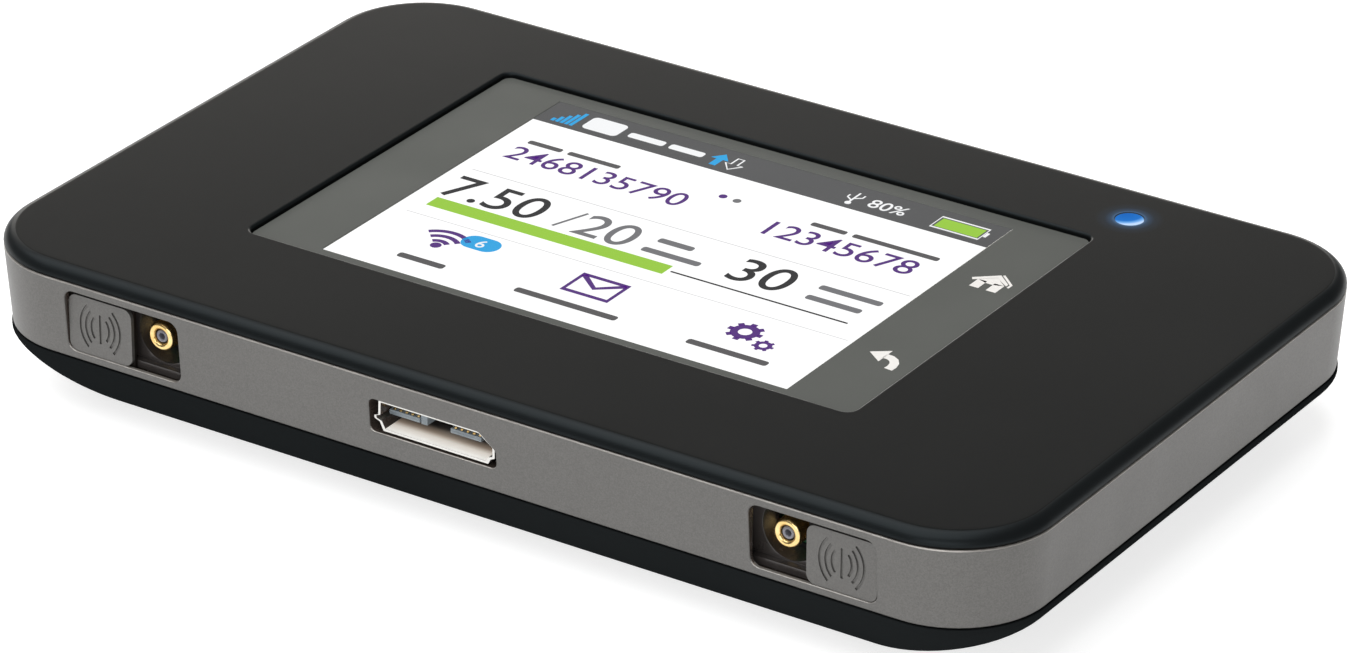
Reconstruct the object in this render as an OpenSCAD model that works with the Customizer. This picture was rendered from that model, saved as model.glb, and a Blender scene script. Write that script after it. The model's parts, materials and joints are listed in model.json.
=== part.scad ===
// Pocket mobile hotspot: soft-touch top cover with a small touch display, a metallic side band
// with two covered antenna jacks and a wide micro connector, and a lift-off battery cover below.
// The origin is under the middle of the case, at the face that it rests on. The jacks face -Y,
// +X is the long direction and +Z points up through the display.

/* [Case] */
// Length of the case along X
case_w = 110; // [109:0.5:112]
// Depth of the case along Y
case_d = 69; // [68.5:0.5:70]
// Overall thickness
case_h = 15.5; // [15.5:0.1:16]
// Plan corner radius of the top cover and band
corner_r = 9.6; // [9:0.2:10.5]
// Wall thickness of the outer shells
wall = 1.1; // [1:0.1:1.2]
// Shadow gap between two outer shells
seam = 0.12; // [0.1:0.02:0.2]

/* [Top cover] */
// Height of the rounded top edge
edge_h = 1.24; // [1.2:0.02:1.3]
// Width of the rounded top edge, seen from above
edge_w = 1.32; // [1.1:0.02:1.5]
// Depth of the glass below the top face
glass_recess = 0.45; // [0.4:0.05:0.5]
// Corner radius of the glass
glass_r = 0.9; // [0.6:0.1:2.5]

/* [Side band] */
// Height of the band
band_h = 7.8; // [7.7:0.05:7.9]
// How far the band leans in at its bottom edge
band_draft = 0.56; // [0.4:0.02:0.6]

/* [Battery cover] */
// How far the base stands in from the band at the short ends
base_inset_x = 11.2; // [10:0.2:12]
// How far the base stands in from the band at the long sides
base_inset_y = 5.75; // [5:0.25:6]
// Height of the straight lip at the top of the cover
lip_h = 0.4; // [0.35:0.05:0.5]
// Roundness exponent of the sloping sides
side_power = 1.4; // [1.3:0.05:1.5]
// Plan corner radius of the base
base_corner_r = 4.4; // [4:0.2:5]

/* [Antenna ports] */
// Distance of each antenna jack from the middle of the case
jack_x = 33.47; // [33.4:0.01:33.6]
// Outer radius of an antenna jack's barrel
jack_r = 1.4; // [1.3:0.05:1.5]
// Width of a port door
door_w = 7.1; // [7:0.1:7.2]
// Travel of a port door
door_travel = 5.4; // [5.2:0.1:5.4]

/* [Battery] */
// Length of the battery pack
battery_w = 62; // [58:1:62]
// Width of the battery pack
battery_d = 52; // [48:1:52]
// Thickness of the battery pack
battery_h = 5.9; // [5.5:0.1:5.9]

/* [Hidden] */
$fn = 48;

// Colours
shell_black = [0.13, 0.13, 0.13];
band_grey = [0.42, 0.41, 0.40];
recess_brown = [0.10, 0.08, 0.07];
gold = [0.83, 0.66, 0.30];
steel = [0.75, 0.75, 0.76];
board_green = [0.05, 0.25, 0.14];
chip_black = [0.10, 0.10, 0.11];
flex_amber = [0.62, 0.38, 0.10];
copper = [0.80, 0.52, 0.30];

// Levels, counted from the base
cover_z = case_h - edge_h;
band_top = cover_z - seam;
band_bottom = band_top - band_h;
cover_rim = band_bottom - seam;
lip_bottom = cover_rim - lip_h;
board_z = 8.0;
board_t = 0.8;
board_top = board_z + board_t;
deck_bottom = 7.3;
deck_t = 0.65;
deck_top = deck_bottom + deck_t;
glass_top = case_h - glass_recess;
glass_t = 0.9;
glass_bottom = glass_top - glass_t;
tape_t = 0.15;
ledge_t = 0.8;
ledge_top = glass_bottom - tape_t;
ledge_size = [69, 44.5];
ledge_r = 3;
weld = 0.1;

// Half sizes of the case and of the hollow inside the band
half_w = case_w / 2;
half_d = case_d / 2;
band_wall = 1.3;
hollow_hw = half_w - band_draft - band_wall;
hollow_hd = half_d - band_draft - band_wall - 0.04;
hollow_r = corner_r - band_draft - band_wall;

// Display window and panel
glass_size = [64.9, 41.8];
glass_centre = [-1.5, 2.1];
window_play = 0.15;
panel_size = [58.4, 39.5];
panel_centre = [-1.98, 2.45];
panel_play = [0.4, 0.2];
frame_skin = 0.25;
frame_z = ledge_top - 2.5;
guide_t = 1.0;
layer_play = 0.1;
flex_t = 0.12;
display_plug_h = 1.0;
touch_plug_h = 0.9;

// Status light
led_pos = [31.9, 28.08];
led_r = 1.35;
led_chip_h = 0.6;
lens_gap = 0.3;

// Antenna ports: the right one is drawn and the left one mirrors it
port_x0 = 30.45;
port_x1 = 43.25;
port_z0 = 7.1;
port_z1 = 13.34;
port_corner = 1.0;
pocket_x0 = port_x0 - 1.0;
pocket_x1 = port_x1 + 0.95;
pocket_z0 = 6.75;
pocket_z1 = 13.7;
pocket_front = 1.0 - half_d;
door_front = 0.65 - half_d;
door_slab_t = 0.4;
door_flange_t = 0.35;
port_play = 0.1;
door_r = 0.9;
door_lap = [0, 0.75];
door_z0 = 7.25;
door_z1 = 12.85;
door_x1 = port_x1 - port_play;
door_x0 = door_x1 - door_w;
well_face = 2.3 - half_d;
well_back = 4.9 - half_d;
well_r = 2.9;
rail_front = 1.5 - half_d;
jack_z = 10.6;
jack_tip = 1.52 - half_d;
jack_root = 5.1 - half_d;
jack_hole_r = 0.7;
pin_hole_r = 0.25;

// Wide micro connector
usb_x0 = -9.1;
usb_x1 = 3.85;
usb_z0 = 8.85;
usb_z1 = 11.85;
usb_front = 0.6 - half_d;
usb_back = 6.1 - half_d;
usb_skin = 0.3;
usb_hole_r = 0.6;
usb_mid = [(usb_x0 + usb_x1) / 2, (usb_z0 + usb_z1) / 2];
// Outline of its shell: an ear on each side and one slanted upper corner
usb_outline = [[usb_x0 + 1.0, usb_z0], [usb_x1 - 0.7, usb_z0], [usb_x1 - 0.45, usb_z0 + 0.5],
    [usb_x1, usb_z0 + 0.7], [usb_x1, usb_z0 + 1.75], [usb_x1 - 1.5, usb_z1], [usb_x0 + 0.5, usb_z1],
    [usb_x0 + 0.45, usb_z0 + 1.5], [usb_x0, usb_z0 + 1.35], [usb_x0, usb_z0 + 1.05],
    [usb_x0 + 0.6, usb_z0 + 0.85]];
bar_places = [usb_x0 + 1.2, usb_x0 + 7.6];
bar_w = 3.5;
bar_top = 10.5;
contact_pitch = 0.65;
contact_count = 5;

// Battery bay
battery_x1 = 24;
battery_x0 = battery_x1 - battery_w;
battery_z0 = 1.25;
bay_play = 0.3;
bay_wall = 1.0;
bay_bottom = 1.7;
terminal_pitch = 3.4;
terminal_places = [for (i = [-1 : 1]) i * terminal_pitch];
connector_x0 = battery_x1 + 0.9;
connector_x1 = connector_x0 + 3.4;
connector_hd = 6;
connector_z0 = 4.0;
leaf_z = 5.7;
leaf_w = 1.2;

// Subscriber card: the third form factor, 12 by 15 mm
card_size = [12, 15, 0.76];
card_x = 35.5;
card_y0 = -9;
card_z0 = 6.56;
card_travel = 10;
holder_wall = 1.0;
holder_z0 = 6.2;

// Power button, on the back edge
power_x = 20;
power_z = 10.3;
power_w = 11;
power_h = 2.8;
power_r = 1.35;
power_face = half_d - 0.15;
power_play = 0.15;
power_travel = 0.35;
power_nub_t = 1.1;
power_flange_t = 0.7;

// Reset button, under the battery cover
reset_pos = [35.5, -20];
reset_r = 1.0;
reset_z0 = 6.1;
reset_h = 0.9;
switch_hw = 1.9;

// Screws: M1.6, from below through the chassis into the top cover's posts
screw_places = [[-49, -24], [49, -24], [-49, 24], [49, 24], [16, -30.4], [-16, 30.4]];
screw_r = 0.8;
screw_head_r = 1.45;
screw_head_h = 0.8;
screw_end = 12;
post_r = 2.0;

// Locating tabs of the battery cover: places along the long and the short sides
front_tab_x = [-22, 22];
back_tab_x = [-38, -22, 22, 38];
side_tab_y = [-14, 14];
tab_size = [6, 0.9];
tab_span = [4.6, 7.1];
tab_play = 0.2;

// Board outline and the cans on it
board_hw = 47;
board_hd = 29.3;
modem_can = [-20, -22];
radio_can = [-20, 4];
power_can = [12, -20];
can_h = 2.1;

// Antennas
antenna_t = 0.2;
carrier_x = half_w - 5.5;
carrier_t = 2.0;
carrier_y = 30.0;
carrier_depth = 1.4;
carrier_top = 13.0;
side_antenna_hd = 17;
antenna_z0 = 8.6;
feed_z0 = 10;
slot_h = 3.4;
slot_w = 1.2;
back_left_x = [-44, -22];
back_right_x = [30, 44];

slice_count = 10;
slice_t = 0.01;

// Share of the inward slope reached at a share s of the drop from lip to base
function slope(s) = 1 - pow(1 - pow(s, side_power), 1 / side_power);

// Outline points scaled about a centre point, so that a wall of even thickness is left
function shrink(points, centre, k) =
    [for (p = points) [centre[0] + (p[0] - centre[0]) * k[0], centre[1] + (p[1] - centre[1]) * k[1]]];

// Rounded rectangle in the plane, with the given full width, depth and corner radius
module rounded_rect(w, d, r) {
    square([w - 2 * r, d], center = true);
    square([w, d - 2 * r], center = true);
    for (x = [-1, 1], y = [-1, 1])
        translate([x * (w / 2 - r), y * (d / 2 - r)])
            circle(r);
}

// Plate with rounded corners, from height z upwards
module plate(w, d, r, z, h) {
    translate([0, 0, z])
        linear_extrude(h)
            rounded_rect(w, d, r);
}

// Box given by two opposite corners
module block(low, high) {
    translate(low)
        cube(high - low);
}

// Bar along Y with a rounded-rectangle section centred at (x, z)
module y_bar(x, z, w, h, r, y0, y1) {
    translate([x, y1, z])
        rotate([90, 0, 0])
            linear_extrude(y1 - y0)
                rounded_rect(w, h, r);
}

// Rod along Y
module y_rod(x, z, r, y0, y1) {
    translate([x, y1, z])
        rotate([90, 0, 0])
            cylinder(h = y1 - y0, r = r);
}

// Flat outline in X and Z, given depth along Y
module y_prism(points, y0, y1) {
    translate([0, y1, 0])
        rotate([90, 0, 0])
            linear_extrude(y1 - y0)
                polygon(points);
}

// Four corner posts that a hull turns into a rounded slab with sloping sides
module tapered_corners(w, d, r, z0, z1, lean) {
    for (x = [-1, 1], y = [-1, 1])
        translate([x * (w / 2 - r), y * (d / 2 - r), z0])
            cylinder(h = z1 - z0, r1 = r - lean, r2 = r);
}

// Outer form of the top cover: straight plan with an elliptical edge
module top_form() {
    steps = 6;
    hull()
        for (i = [0 : steps])
            let (a = 90 * i / steps, inset = edge_w * (1 - cos(a)))
                translate([0, 0, cover_z + (edge_h - slice_t) * sin(a)])
                    linear_extrude(slice_t)
                        rounded_rect(case_w - 2 * inset, case_d - 2 * inset, corner_r - inset);
}

// Form of the battery cover's bowl; thick is the wall left outside it
module bowl_form(thick, floor_z, top_z) {
    rim_inset = band_draft - 0.1 + thick;
    hull() {
        for (i = [0 : slice_count])
            let (s = i / slice_count, q = slope(s))
                translate([0, 0, floor_z + (lip_bottom - floor_z) * (1 - s)])
                    linear_extrude(slice_t)
                        rounded_rect(case_w - 2 * (rim_inset + base_inset_x * q),
                            case_d - 2 * (rim_inset + base_inset_y * q),
                            (corner_r - rim_inset) * (1 - q) + (base_corner_r - thick) * q);
        translate([0, 0, top_z - slice_t])
            linear_extrude(slice_t)
                rounded_rect(case_w - 2 * rim_inset, case_d - 2 * rim_inset, corner_r - rim_inset);
    }
}

// Screw post holes, used wherever a part makes room for the screws
module screw_holes(r, z0, z1) {
    for (p = screw_places)
        translate([p[0], p[1], z0])
            cylinder(h = z1 - z0, r = r);
}

// Clearance round the display panel, right through the ledge
module panel_window() {
    half = [panel_size[0] / 2 + panel_play[0], panel_size[1] / 2 + panel_play[1]];
    block([panel_centre[0] - half[0], panel_centre[1] - half[1], frame_z],
        [panel_centre[0] + half[0], panel_centre[1] + half[1], case_h + 1]);
}

module top_cover() {
    skirt_out = 0.12;
    skirt_t = 0.8;
    skirt_z = 12.2;
    skirt_gap = 45;
    inner = skirt_out + skirt_t;
    color(shell_black)
        difference() {
            union() {
                top_form();
                // Ledge that carries the glass
                translate([glass_centre[0], glass_centre[1], 0])
                    plate(ledge_size[0], ledge_size[1], ledge_r, ledge_top - ledge_t,
                        cover_z + weld - ledge_top + ledge_t);
                // Skirt inside the band, along the two short ends
                difference() {
                    plate(2 * (hollow_hw - skirt_out), 2 * (hollow_hd - skirt_out),
                        hollow_r - skirt_out, skirt_z, cover_z + weld - skirt_z);
                    plate(2 * (hollow_hw - inner), 2 * (hollow_hd - inner), hollow_r - inner,
                        skirt_z - 1, case_h);
                    block([-skirt_gap, -half_d, 0], [skirt_gap, half_d, case_h]);
                }
                // Screw posts
                screw_holes(post_r, deck_top, cover_z + weld);
            }
            // Pocket for the glass and opening for the display
            translate([glass_centre[0], glass_centre[1], 0])
                plate(glass_size[0] + 2 * window_play, glass_size[1] + 2 * window_play,
                    glass_r + window_play, ledge_top, case_h);
            panel_window();
            translate([led_pos[0], led_pos[1], deck_top])
                cylinder(h = case_h, r = led_r);
            screw_holes(screw_r + 0.02, deck_top - 1, screw_end + 0.3);
        }
}

module touch_glass() {
    color([0.42, 0.42, 0.41])
        translate([glass_centre[0], glass_centre[1], 0])
            plate(glass_size[0], glass_size[1], glass_r, glass_bottom, glass_t);
}

module glass_adhesive() {
    color([0.05, 0.05, 0.05])
        difference() {
            translate([glass_centre[0], glass_centre[1], 0])
                plate(glass_size[0] - 0.2, glass_size[1] - 0.2, glass_r, ledge_top, tape_t);
            panel_window();
        }
}

// Flat layer of the display stack, smaller than the frame by a margin
module display_layer(margin, z, h) {
    translate([panel_centre[0], panel_centre[1], z + h / 2])
        cube([panel_size[0] - 2 * margin, panel_size[1] - 2 * margin, h], center = true);
}

module lcd_frame() {
    color(steel)
        difference() {
            display_layer(0, frame_z, ledge_top - frame_z);
            display_layer(frame_skin, frame_z + frame_skin, 4);
        }
}

module light_guide() {
    color([0.9, 0.92, 0.93])
        display_layer(frame_skin + layer_play, frame_z + frame_skin, guide_t);
}

module lcd_panel() {
    guide_top = frame_z + frame_skin + guide_t;
    color([0.75, 0.80, 0.85])
        display_layer(frame_skin + layer_play, guide_top, ledge_top - guide_top);
}

module display_flex() {
    // A strip that runs out under the display, turns round and comes back to the board
    bend_x = -31;
    bend_z = 10.55;
    bend_r = 0.75;
    edges = [-6, 8];
    color(flex_amber) {
        block([bend_x, edges[0], bend_z + bend_r - flex_t], [bend_x + 7, edges[1], bend_z + bend_r]);
        block([bend_x, edges[0], bend_z - bend_r], [bend_x + 4, edges[1], bend_z - bend_r + flex_t]);
        translate([bend_x, edges[1], bend_z])
            rotate([90, 0, 0])
                linear_extrude(edges[1] - edges[0])
                    difference() {
                        circle(bend_r);
                        circle(bend_r - flex_t);
                        translate([0, -2])
                            square([4, 4]);
                    }
    }
}

module touch_flex() {
    // A strip from under the glass, down past the display frame to its plug on the board
    drop_x = panel_centre[0] + panel_size[0] / 2 + 0.12;
    edges = [-4, 5];
    low = board_top + touch_plug_h;
    high = ledge_top + tape_t - 0.02;
    color(flex_amber) {
        block([drop_x - 2, edges[0], high - flex_t], [drop_x + flex_t, edges[1], high]);
        block([drop_x, edges[0], low], [drop_x + flex_t, edges[1], high]);
        block([drop_x, edges[0], low], [30.5, edges[1], low + flex_t]);
    }
}

module flex_connectors() {
    color([0.85, 0.83, 0.78]) {
        block([-30, -7, board_top], [-26.5, 9, board_top + display_plug_h]);
        block([28.2, -5, board_top], [31.2, 6, board_top + touch_plug_h]);
    }
}

module led_lens() {
    bottom = board_top + led_chip_h + lens_gap;
    color([0.30, 0.55, 0.95])
        translate([led_pos[0], led_pos[1], bottom])
            cylinder(h = case_h - bottom - 0.05, r = led_r - 0.03);
}

module status_led() {
    color([0.95, 0.93, 0.8])
        block([led_pos[0] - 0.8, led_pos[1] - 0.4, board_top],
            [led_pos[0] + 0.8, led_pos[1] + 0.4, board_top + led_chip_h]);
}

// Opening in the band for the wide connector, with one slanted corner
module usb_opening() {
    left = usb_x0 - 0.32 + usb_hole_r;
    right = usb_x1 + 0.3 - usb_hole_r;
    low = usb_z0 - 0.35 + usb_hole_r;
    high = usb_z1 + 0.1 - usb_hole_r;
    translate([0, -half_d + 4, 0])
        rotate([90, 0, 0])
            linear_extrude(6)
                hull() {
                    for (p = [[left, low], [left, high], [right - 1.4, high], [right, usb_mid[1] - 0.2],
                        [right, low]])
                        translate(p)
                            circle(usb_hole_r);
                }
}

// Window in the band's face, and the pocket behind it that the door slides in
module port_window() {
    y_bar((port_x0 + port_x1) / 2, (port_z0 + port_z1) / 2, port_x1 - port_x0, port_z1 - port_z0,
        port_corner, -half_d - 1, -half_d + 3);
    block([pocket_x0, pocket_front, pocket_z0], [pocket_x1, -half_d + 5, pocket_z1]);
}

module side_band() {
    color(band_grey)
        difference() {
            hull()
                tapered_corners(case_w, case_d, corner_r, band_bottom, band_top, band_draft);
            plate(2 * hollow_hw, 2 * hollow_hd, hollow_r, band_bottom - 1, band_h + 2);
            port_window();
            mirror([1, 0, 0])
                port_window();
            usb_opening();
            y_bar(power_x, power_z, power_w + 2 * power_play, power_h + 2 * power_play,
                power_r + power_play, half_d - 4, half_d + 1);
        }
}

// Antenna carrier blocks that stand on the deck
module antenna_carriers() {
    for (side = [-1, 1])
        translate([side * (carrier_x + carrier_t / 2), 0, (deck_top - weld + carrier_top) / 2])
            cube([carrier_t, 2 * side_antenna_hd, carrier_top - deck_top + weld], center = true);
    for (span = [back_left_x, back_right_x])
        block([span[0], carrier_y, deck_top - weld], [span[1], carrier_y + carrier_depth, carrier_top]);
}

module chassis() {
    play = 0.2;
    rib_t = 0.9;
    rib_z0 = 3.4;
    bay_x0 = battery_x0 - bay_play;
    bay_x1 = battery_x1 + bay_play;
    bay_hd = battery_d / 2 + bay_play;
    color([0.17, 0.17, 0.18])
        difference() {
            union() {
                plate(2 * (hollow_hw - play), 2 * (hollow_hd - play), hollow_r - play, deck_bottom, deck_t);
                antenna_carriers();
                // Wall round the battery bay
                difference() {
                    block([bay_x0 - bay_wall, -bay_hd - bay_wall, bay_bottom],
                        [bay_x1 + bay_wall, bay_hd + bay_wall, deck_bottom + weld]);
                    block([bay_x0, -bay_hd, bay_bottom - 1], [bay_x1, bay_hd, deck_bottom]);
                }
                // Ribs that stiffen the deck beside the bay
                for (x = [-43.6, 43])
                    block([x, -22, rib_z0], [x + rib_t, 22, deck_bottom + weld]);
            }
            // Gap in the bay wall for the battery connector, and its way through the deck
            block([battery_x1, -connector_hd - bay_play, connector_z0 - 0.2],
                [connector_x1 + bay_play, connector_hd + bay_play, 9]);
            // Way in for the subscriber card's holder and card
            block([card_x - card_size[0] / 2 - holder_wall - bay_play, card_y0 - holder_wall - 0.5, 5],
                [card_x + card_size[0] / 2 + holder_wall + bay_play,
                    card_y0 + card_size[1] + card_travel + 1.5, 9]);
            // Window for the reset switch
            translate([reset_pos[0], reset_pos[1], board_z])
                cube([2 * switch_hw + 0.4, 2 * switch_hw + 0.4, 4], center = true);
            // Notches for the two port wells
            for (side = [-1, 1])
                translate([side * (pocket_x0 + pocket_x1) / 2, -half_d, 8])
                    cube([pocket_x1 - pocket_x0 + 2 * play, 2 * (well_back + half_d + play), 8],
                        center = true);
            screw_holes(screw_r + 0.1, 5, 9);
        }
}

// Dark insert behind a port: guide rails for the door and a round well for the plug
module port_well() {
    x0 = pocket_x0 + port_play;
    x1 = pocket_x1 - port_play;
    z0 = pocket_z0 + port_play;
    z1 = pocket_z1 - port_play;
    color(recess_brown)
        difference() {
            union() {
                block([x0, well_face, z0], [x1, well_back, z1]);
                for (span = [[z0, port_z0 + 0.5], [port_z1 + 0.05, z1]])
                    block([x0, rail_front, span[0]], [x1, well_face + weld, span[1]]);
            }
            y_rod(jack_x, jack_z, well_r, -half_d, well_back + 1);
        }
}

module left_port_well() { mirror([1, 0, 0]) port_well(); }
module right_port_well() { port_well(); }

// Sliding door: a rounded face in the window and a wider flange behind the band's wall
module port_door() {
    slab_back = door_front + door_slab_t;
    flange_front = slab_back - 0.02;
    color(band_grey) {
        y_bar((door_x0 + door_x1) / 2, (door_z0 + door_z1) / 2, door_w, door_z1 - door_z0, door_r,
            door_front, slab_back);
        block([door_x0 - door_lap[0], flange_front, pocket_z0 + 1.5 * port_play],
            [door_x1 + door_lap[1], flange_front + door_flange_t, pocket_z1 - 1.5 * port_play]);
    }
}

module left_port_door() { mirror([1, 0, 0]) port_door(); }
module right_port_door() { port_door(); }

// Coaxial jack: a barrel on a square root that is soldered to the board
module jack_barrel() {
    root_size = [4.2, 4, 3.5];
    color(gold)
        difference() {
            union() {
                y_rod(jack_x, jack_z, jack_r, jack_tip, jack_root + weld);
                translate([jack_x - root_size[0] / 2, jack_root, board_top])
                    cube(root_size);
            }
            y_rod(jack_x, jack_z, jack_hole_r, jack_tip - 1, jack_root + 3);
        }
}

module jack_insulator() {
    color([0.62, 0.62, 0.64])
        difference() {
            y_rod(jack_x, jack_z, jack_hole_r - 0.01, jack_tip + 0.15, jack_root + 2.9);
            y_rod(jack_x, jack_z, pin_hole_r + 0.13, jack_tip - 1, jack_root + 3);
        }
}

module jack_contact() {
    color(gold)
        difference() {
            y_rod(jack_x, jack_z, pin_hole_r + 0.12, jack_tip + 0.3, jack_root + 2.8);
            y_rod(jack_x, jack_z, pin_hole_r, jack_tip, jack_root + 1);
        }
}

module left_jack_barrel() { mirror([1, 0, 0]) jack_barrel(); }
module right_jack_barrel() { jack_barrel(); }
module left_jack_insulator() { mirror([1, 0, 0]) jack_insulator(); }
module right_jack_insulator() { jack_insulator(); }
module left_jack_contact() { mirror([1, 0, 0]) jack_contact(); }
module right_jack_contact() { jack_contact(); }

// Pressed-metal shell, open at the front
module usb_shell() {
    k = [1 - 2 * usb_skin / (usb_x1 - usb_x0), 1 - 2 * usb_skin / (usb_z1 - usb_z0)];
    color(steel)
        difference() {
            y_prism(usb_outline, usb_front, usb_back);
            y_prism(shrink(usb_outline, usb_mid, k), usb_front - 1, usb_back - 0.4);
        }
}

module usb_tongue() {
    // Two contact bars and the rib between them, on a block that fills the shell's back
    front = usb_front + 1.2;
    block_front = usb_back - 1.6;
    color([0.20, 0.20, 0.22]) {
        block([usb_x0 + 1.1, block_front, 9.4], [usb_x1 - 1.2, usb_back - 0.4, 10.8]);
        for (x = bar_places)
            block([x, front, bar_top - 0.5], [x + bar_w, block_front + weld, bar_top]);
        block([usb_x0 + 4.8, front + 0.2, 9.9], [usb_x0 + 5.5, block_front + weld, 10.8]);
    }
}

module usb_contacts() {
    color(gold)
        for (x = bar_places, i = [0 : contact_count - 1])
            translate([x + 0.33 + i * contact_pitch, usb_front + 1.3, bar_top])
                cube([0.25, usb_back - usb_front - 3.0, 0.15]);
}

module main_board() {
    color(board_green)
        difference() {
            plate(2 * board_hw, 2 * board_hd, 2, board_z, board_t);
            screw_holes(post_r + 0.4, board_z - 1, board_z + 3);
        }
}

// Pressed-metal can with an open bottom
module shield_can(low, size) {
    skin = 0.2;
    color(steel)
        difference() {
            translate([low[0], low[1], board_top])
                cube(size);
            translate([low[0] + skin, low[1] + skin, board_top - 1])
                cube([size[0] - 2 * skin, size[1] - 2 * skin, size[2] + 1 - skin]);
        }
}

module modem_shield() { shield_can(modem_can, [30, 24, can_h]); }
module radio_shield() { shield_can(radio_can, [30, 20, can_h]); }
module power_shield() { shield_can(power_can, [13, 15, can_h]); }

// Square chip package on the board
module chip(x, y, w, d, h) {
    color(chip_black)
        translate([x, y, board_top])
            cube([w, d, h]);
}

module modem_chip() { chip(modem_can[0] + 2, modem_can[1] + 5, 14, 14, 1.1); }
module memory_chip() { chip(modem_can[0] + 18, modem_can[1] + 5, 10, 13, 1.0); }
module wifi_chip() { chip(radio_can[0] + 5, radio_can[1] + 6, 8, 8, 0.9); }
module power_chip() { chip(power_can[0] + 3, power_can[1] + 4, 7, 7, 0.9); }

module board_components() {
    // Rows of capacitors and inductors beside the cans
    color([0.72, 0.66, 0.52]) {
        for (i = [0 : 7])
            translate([-44 + i * 2.2, 16, board_top])
                cube([1.0, 0.5, 0.5]);
        for (i = [0 : 5])
            translate([-43 + i * 2.6, -16, board_top])
                cube([1.6, 0.8, 0.8]);
        for (i = [0 : 3])
            translate([38, -8 + i * 5, board_top])
                cube([3, 3, 1.2]);
    }
}

module battery_connector() {
    color(chip_black)
        difference() {
            block([connector_x0, -connector_hd, connector_z0], [connector_x1, connector_hd, board_z]);
            for (y = terminal_places)
                block([connector_x0 - 1, y - leaf_w / 2 - 0.2, leaf_z - 1.1],
                    [connector_x0 + 1.2, y + leaf_w / 2 + 0.2, leaf_z + 1.1]);
        }
}

module battery_springs() {
    // Bowed leaves that reach out of the connector towards the terminals
    root = connector_x0 + 1.2;
    tip = connector_x0 - 0.6;
    color(gold)
        for (y = terminal_places)
            y_prism([[root, leaf_z - 1.0], [root, leaf_z - 0.8], [tip + 0.2, leaf_z - 0.2],
                [tip + 0.2, leaf_z + 0.2], [root, leaf_z + 0.8], [root, leaf_z + 1.0],
                [tip, leaf_z + 0.3], [tip, leaf_z - 0.3]], y - leaf_w / 2, y + leaf_w / 2);
}

module battery() {
    corner = 1.5;
    color([0.16, 0.16, 0.17])
        translate([(battery_x0 + battery_x1) / 2, 0, 0])
            plate(battery_w, battery_d, corner, battery_z0, battery_h);
}

module battery_terminals() {
    color(gold)
        for (y = terminal_places)
            block([battery_x1, y - 1.1, leaf_z - 0.9], [battery_x1 + 0.06, y + 1.1, leaf_z + 0.9]);
}

module sim_holder() {
    play = 0.15;
    x0 = card_x - card_size[0] / 2;
    x1 = card_x + card_size[0] / 2;
    color(steel)
        difference() {
            block([x0 - holder_wall, card_y0 - holder_wall, holder_z0], [x1 + holder_wall, 3, board_z]);
            block([x0 - play, card_y0 - play, card_z0 - 0.06], [x1 + play, 4, 7.5]);
            // Thumb relief under the card's free end
            block([x0 + 2, -1, holder_z0 - 1], [x1 - 2, 4, card_z0]);
        }
}

module sim_contacts() {
    color(gold)
        for (i = [-1, 0, 1], j = [0, 1])
            translate([card_x + i * 2.54 - 0.6, card_y0 + 3 + j * 5, 7.38])
                cube([1.2, 2, 0.12]);
}

module sim_card() {
    cut = 1.65;
    x0 = card_x - card_size[0] / 2;
    x1 = card_x + card_size[0] / 2;
    y1 = card_y0 + card_size[1];
    color([0.92, 0.92, 0.90])
        translate([0, 0, card_z0])
            linear_extrude(card_size[2])
                polygon([[x0, card_y0], [x1 - cut, card_y0], [x1, card_y0 + cut], [x1, y1], [x0, y1]]);
}

// Metal foil on the outside of a side carrier, wrapped over its top to a feed point
module side_antenna() {
    outer = carrier_x + carrier_t;
    top = carrier_top + antenna_t;
    inner = carrier_x - antenna_t;
    feed = [-6, -3];
    color(copper)
        difference() {
            union() {
                block([outer, 1 - side_antenna_hd, antenna_z0],
                    [outer + antenna_t, side_antenna_hd - 1, top]);
                block([inner, feed[0], carrier_top], [outer + antenna_t, feed[1], top]);
                block([inner, feed[0], feed_z0], [carrier_x, feed[1], top]);
            }
            for (i = [0 : 4])
                translate([outer - 1, -12 + i * 6, antenna_z0 + (i % 2 == 0 ? -1 : slot_w)])
                    cube([2, slot_w, slot_h]);
        }
}

module main_antenna() { side_antenna(); }
module diversity_antenna() { mirror([1, 0, 0]) side_antenna(); }

// Foil on a back carrier, wrapped over its top in the same way
module back_antenna(span) {
    outer = carrier_y + carrier_depth;
    top = carrier_top + antenna_t;
    inner = carrier_y - antenna_t;
    feed = (span[0] + span[1]) / 2;
    color(copper)
        difference() {
            union() {
                block([span[0] + 1, outer, antenna_z0], [span[1] - 1, outer + antenna_t, top]);
                block([feed, inner, carrier_top], [feed + 3, outer + antenna_t, top]);
                block([feed, inner, feed_z0], [feed + 3, carrier_y, top]);
            }
            for (i = [0, 1])
                translate([span[0] + 4 + i * 5, outer - 1, antenna_z0 + (i == 0 ? -1 : slot_w)])
                    cube([slot_w, 2, slot_h]);
        }
}

module wifi_antenna_left() { back_antenna(back_left_x); }
module wifi_antenna_right() { back_antenna(back_right_x); }

// Bent spring clip: a foot on the board and a leaf that meets the foil's feed point
module antenna_clip(reach) {
    skin = 0.15;
    top = 11.6;
    y_prism([[0, board_top], [1.6, board_top], [1.6, board_top + skin], [reach, top - 0.2], [reach, top],
        [reach - 0.2, top], [reach - 0.2, top - 0.2], [1.5, board_top + 2 * skin],
        [0, board_top + skin]], -0.8, 0.8);
}

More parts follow.
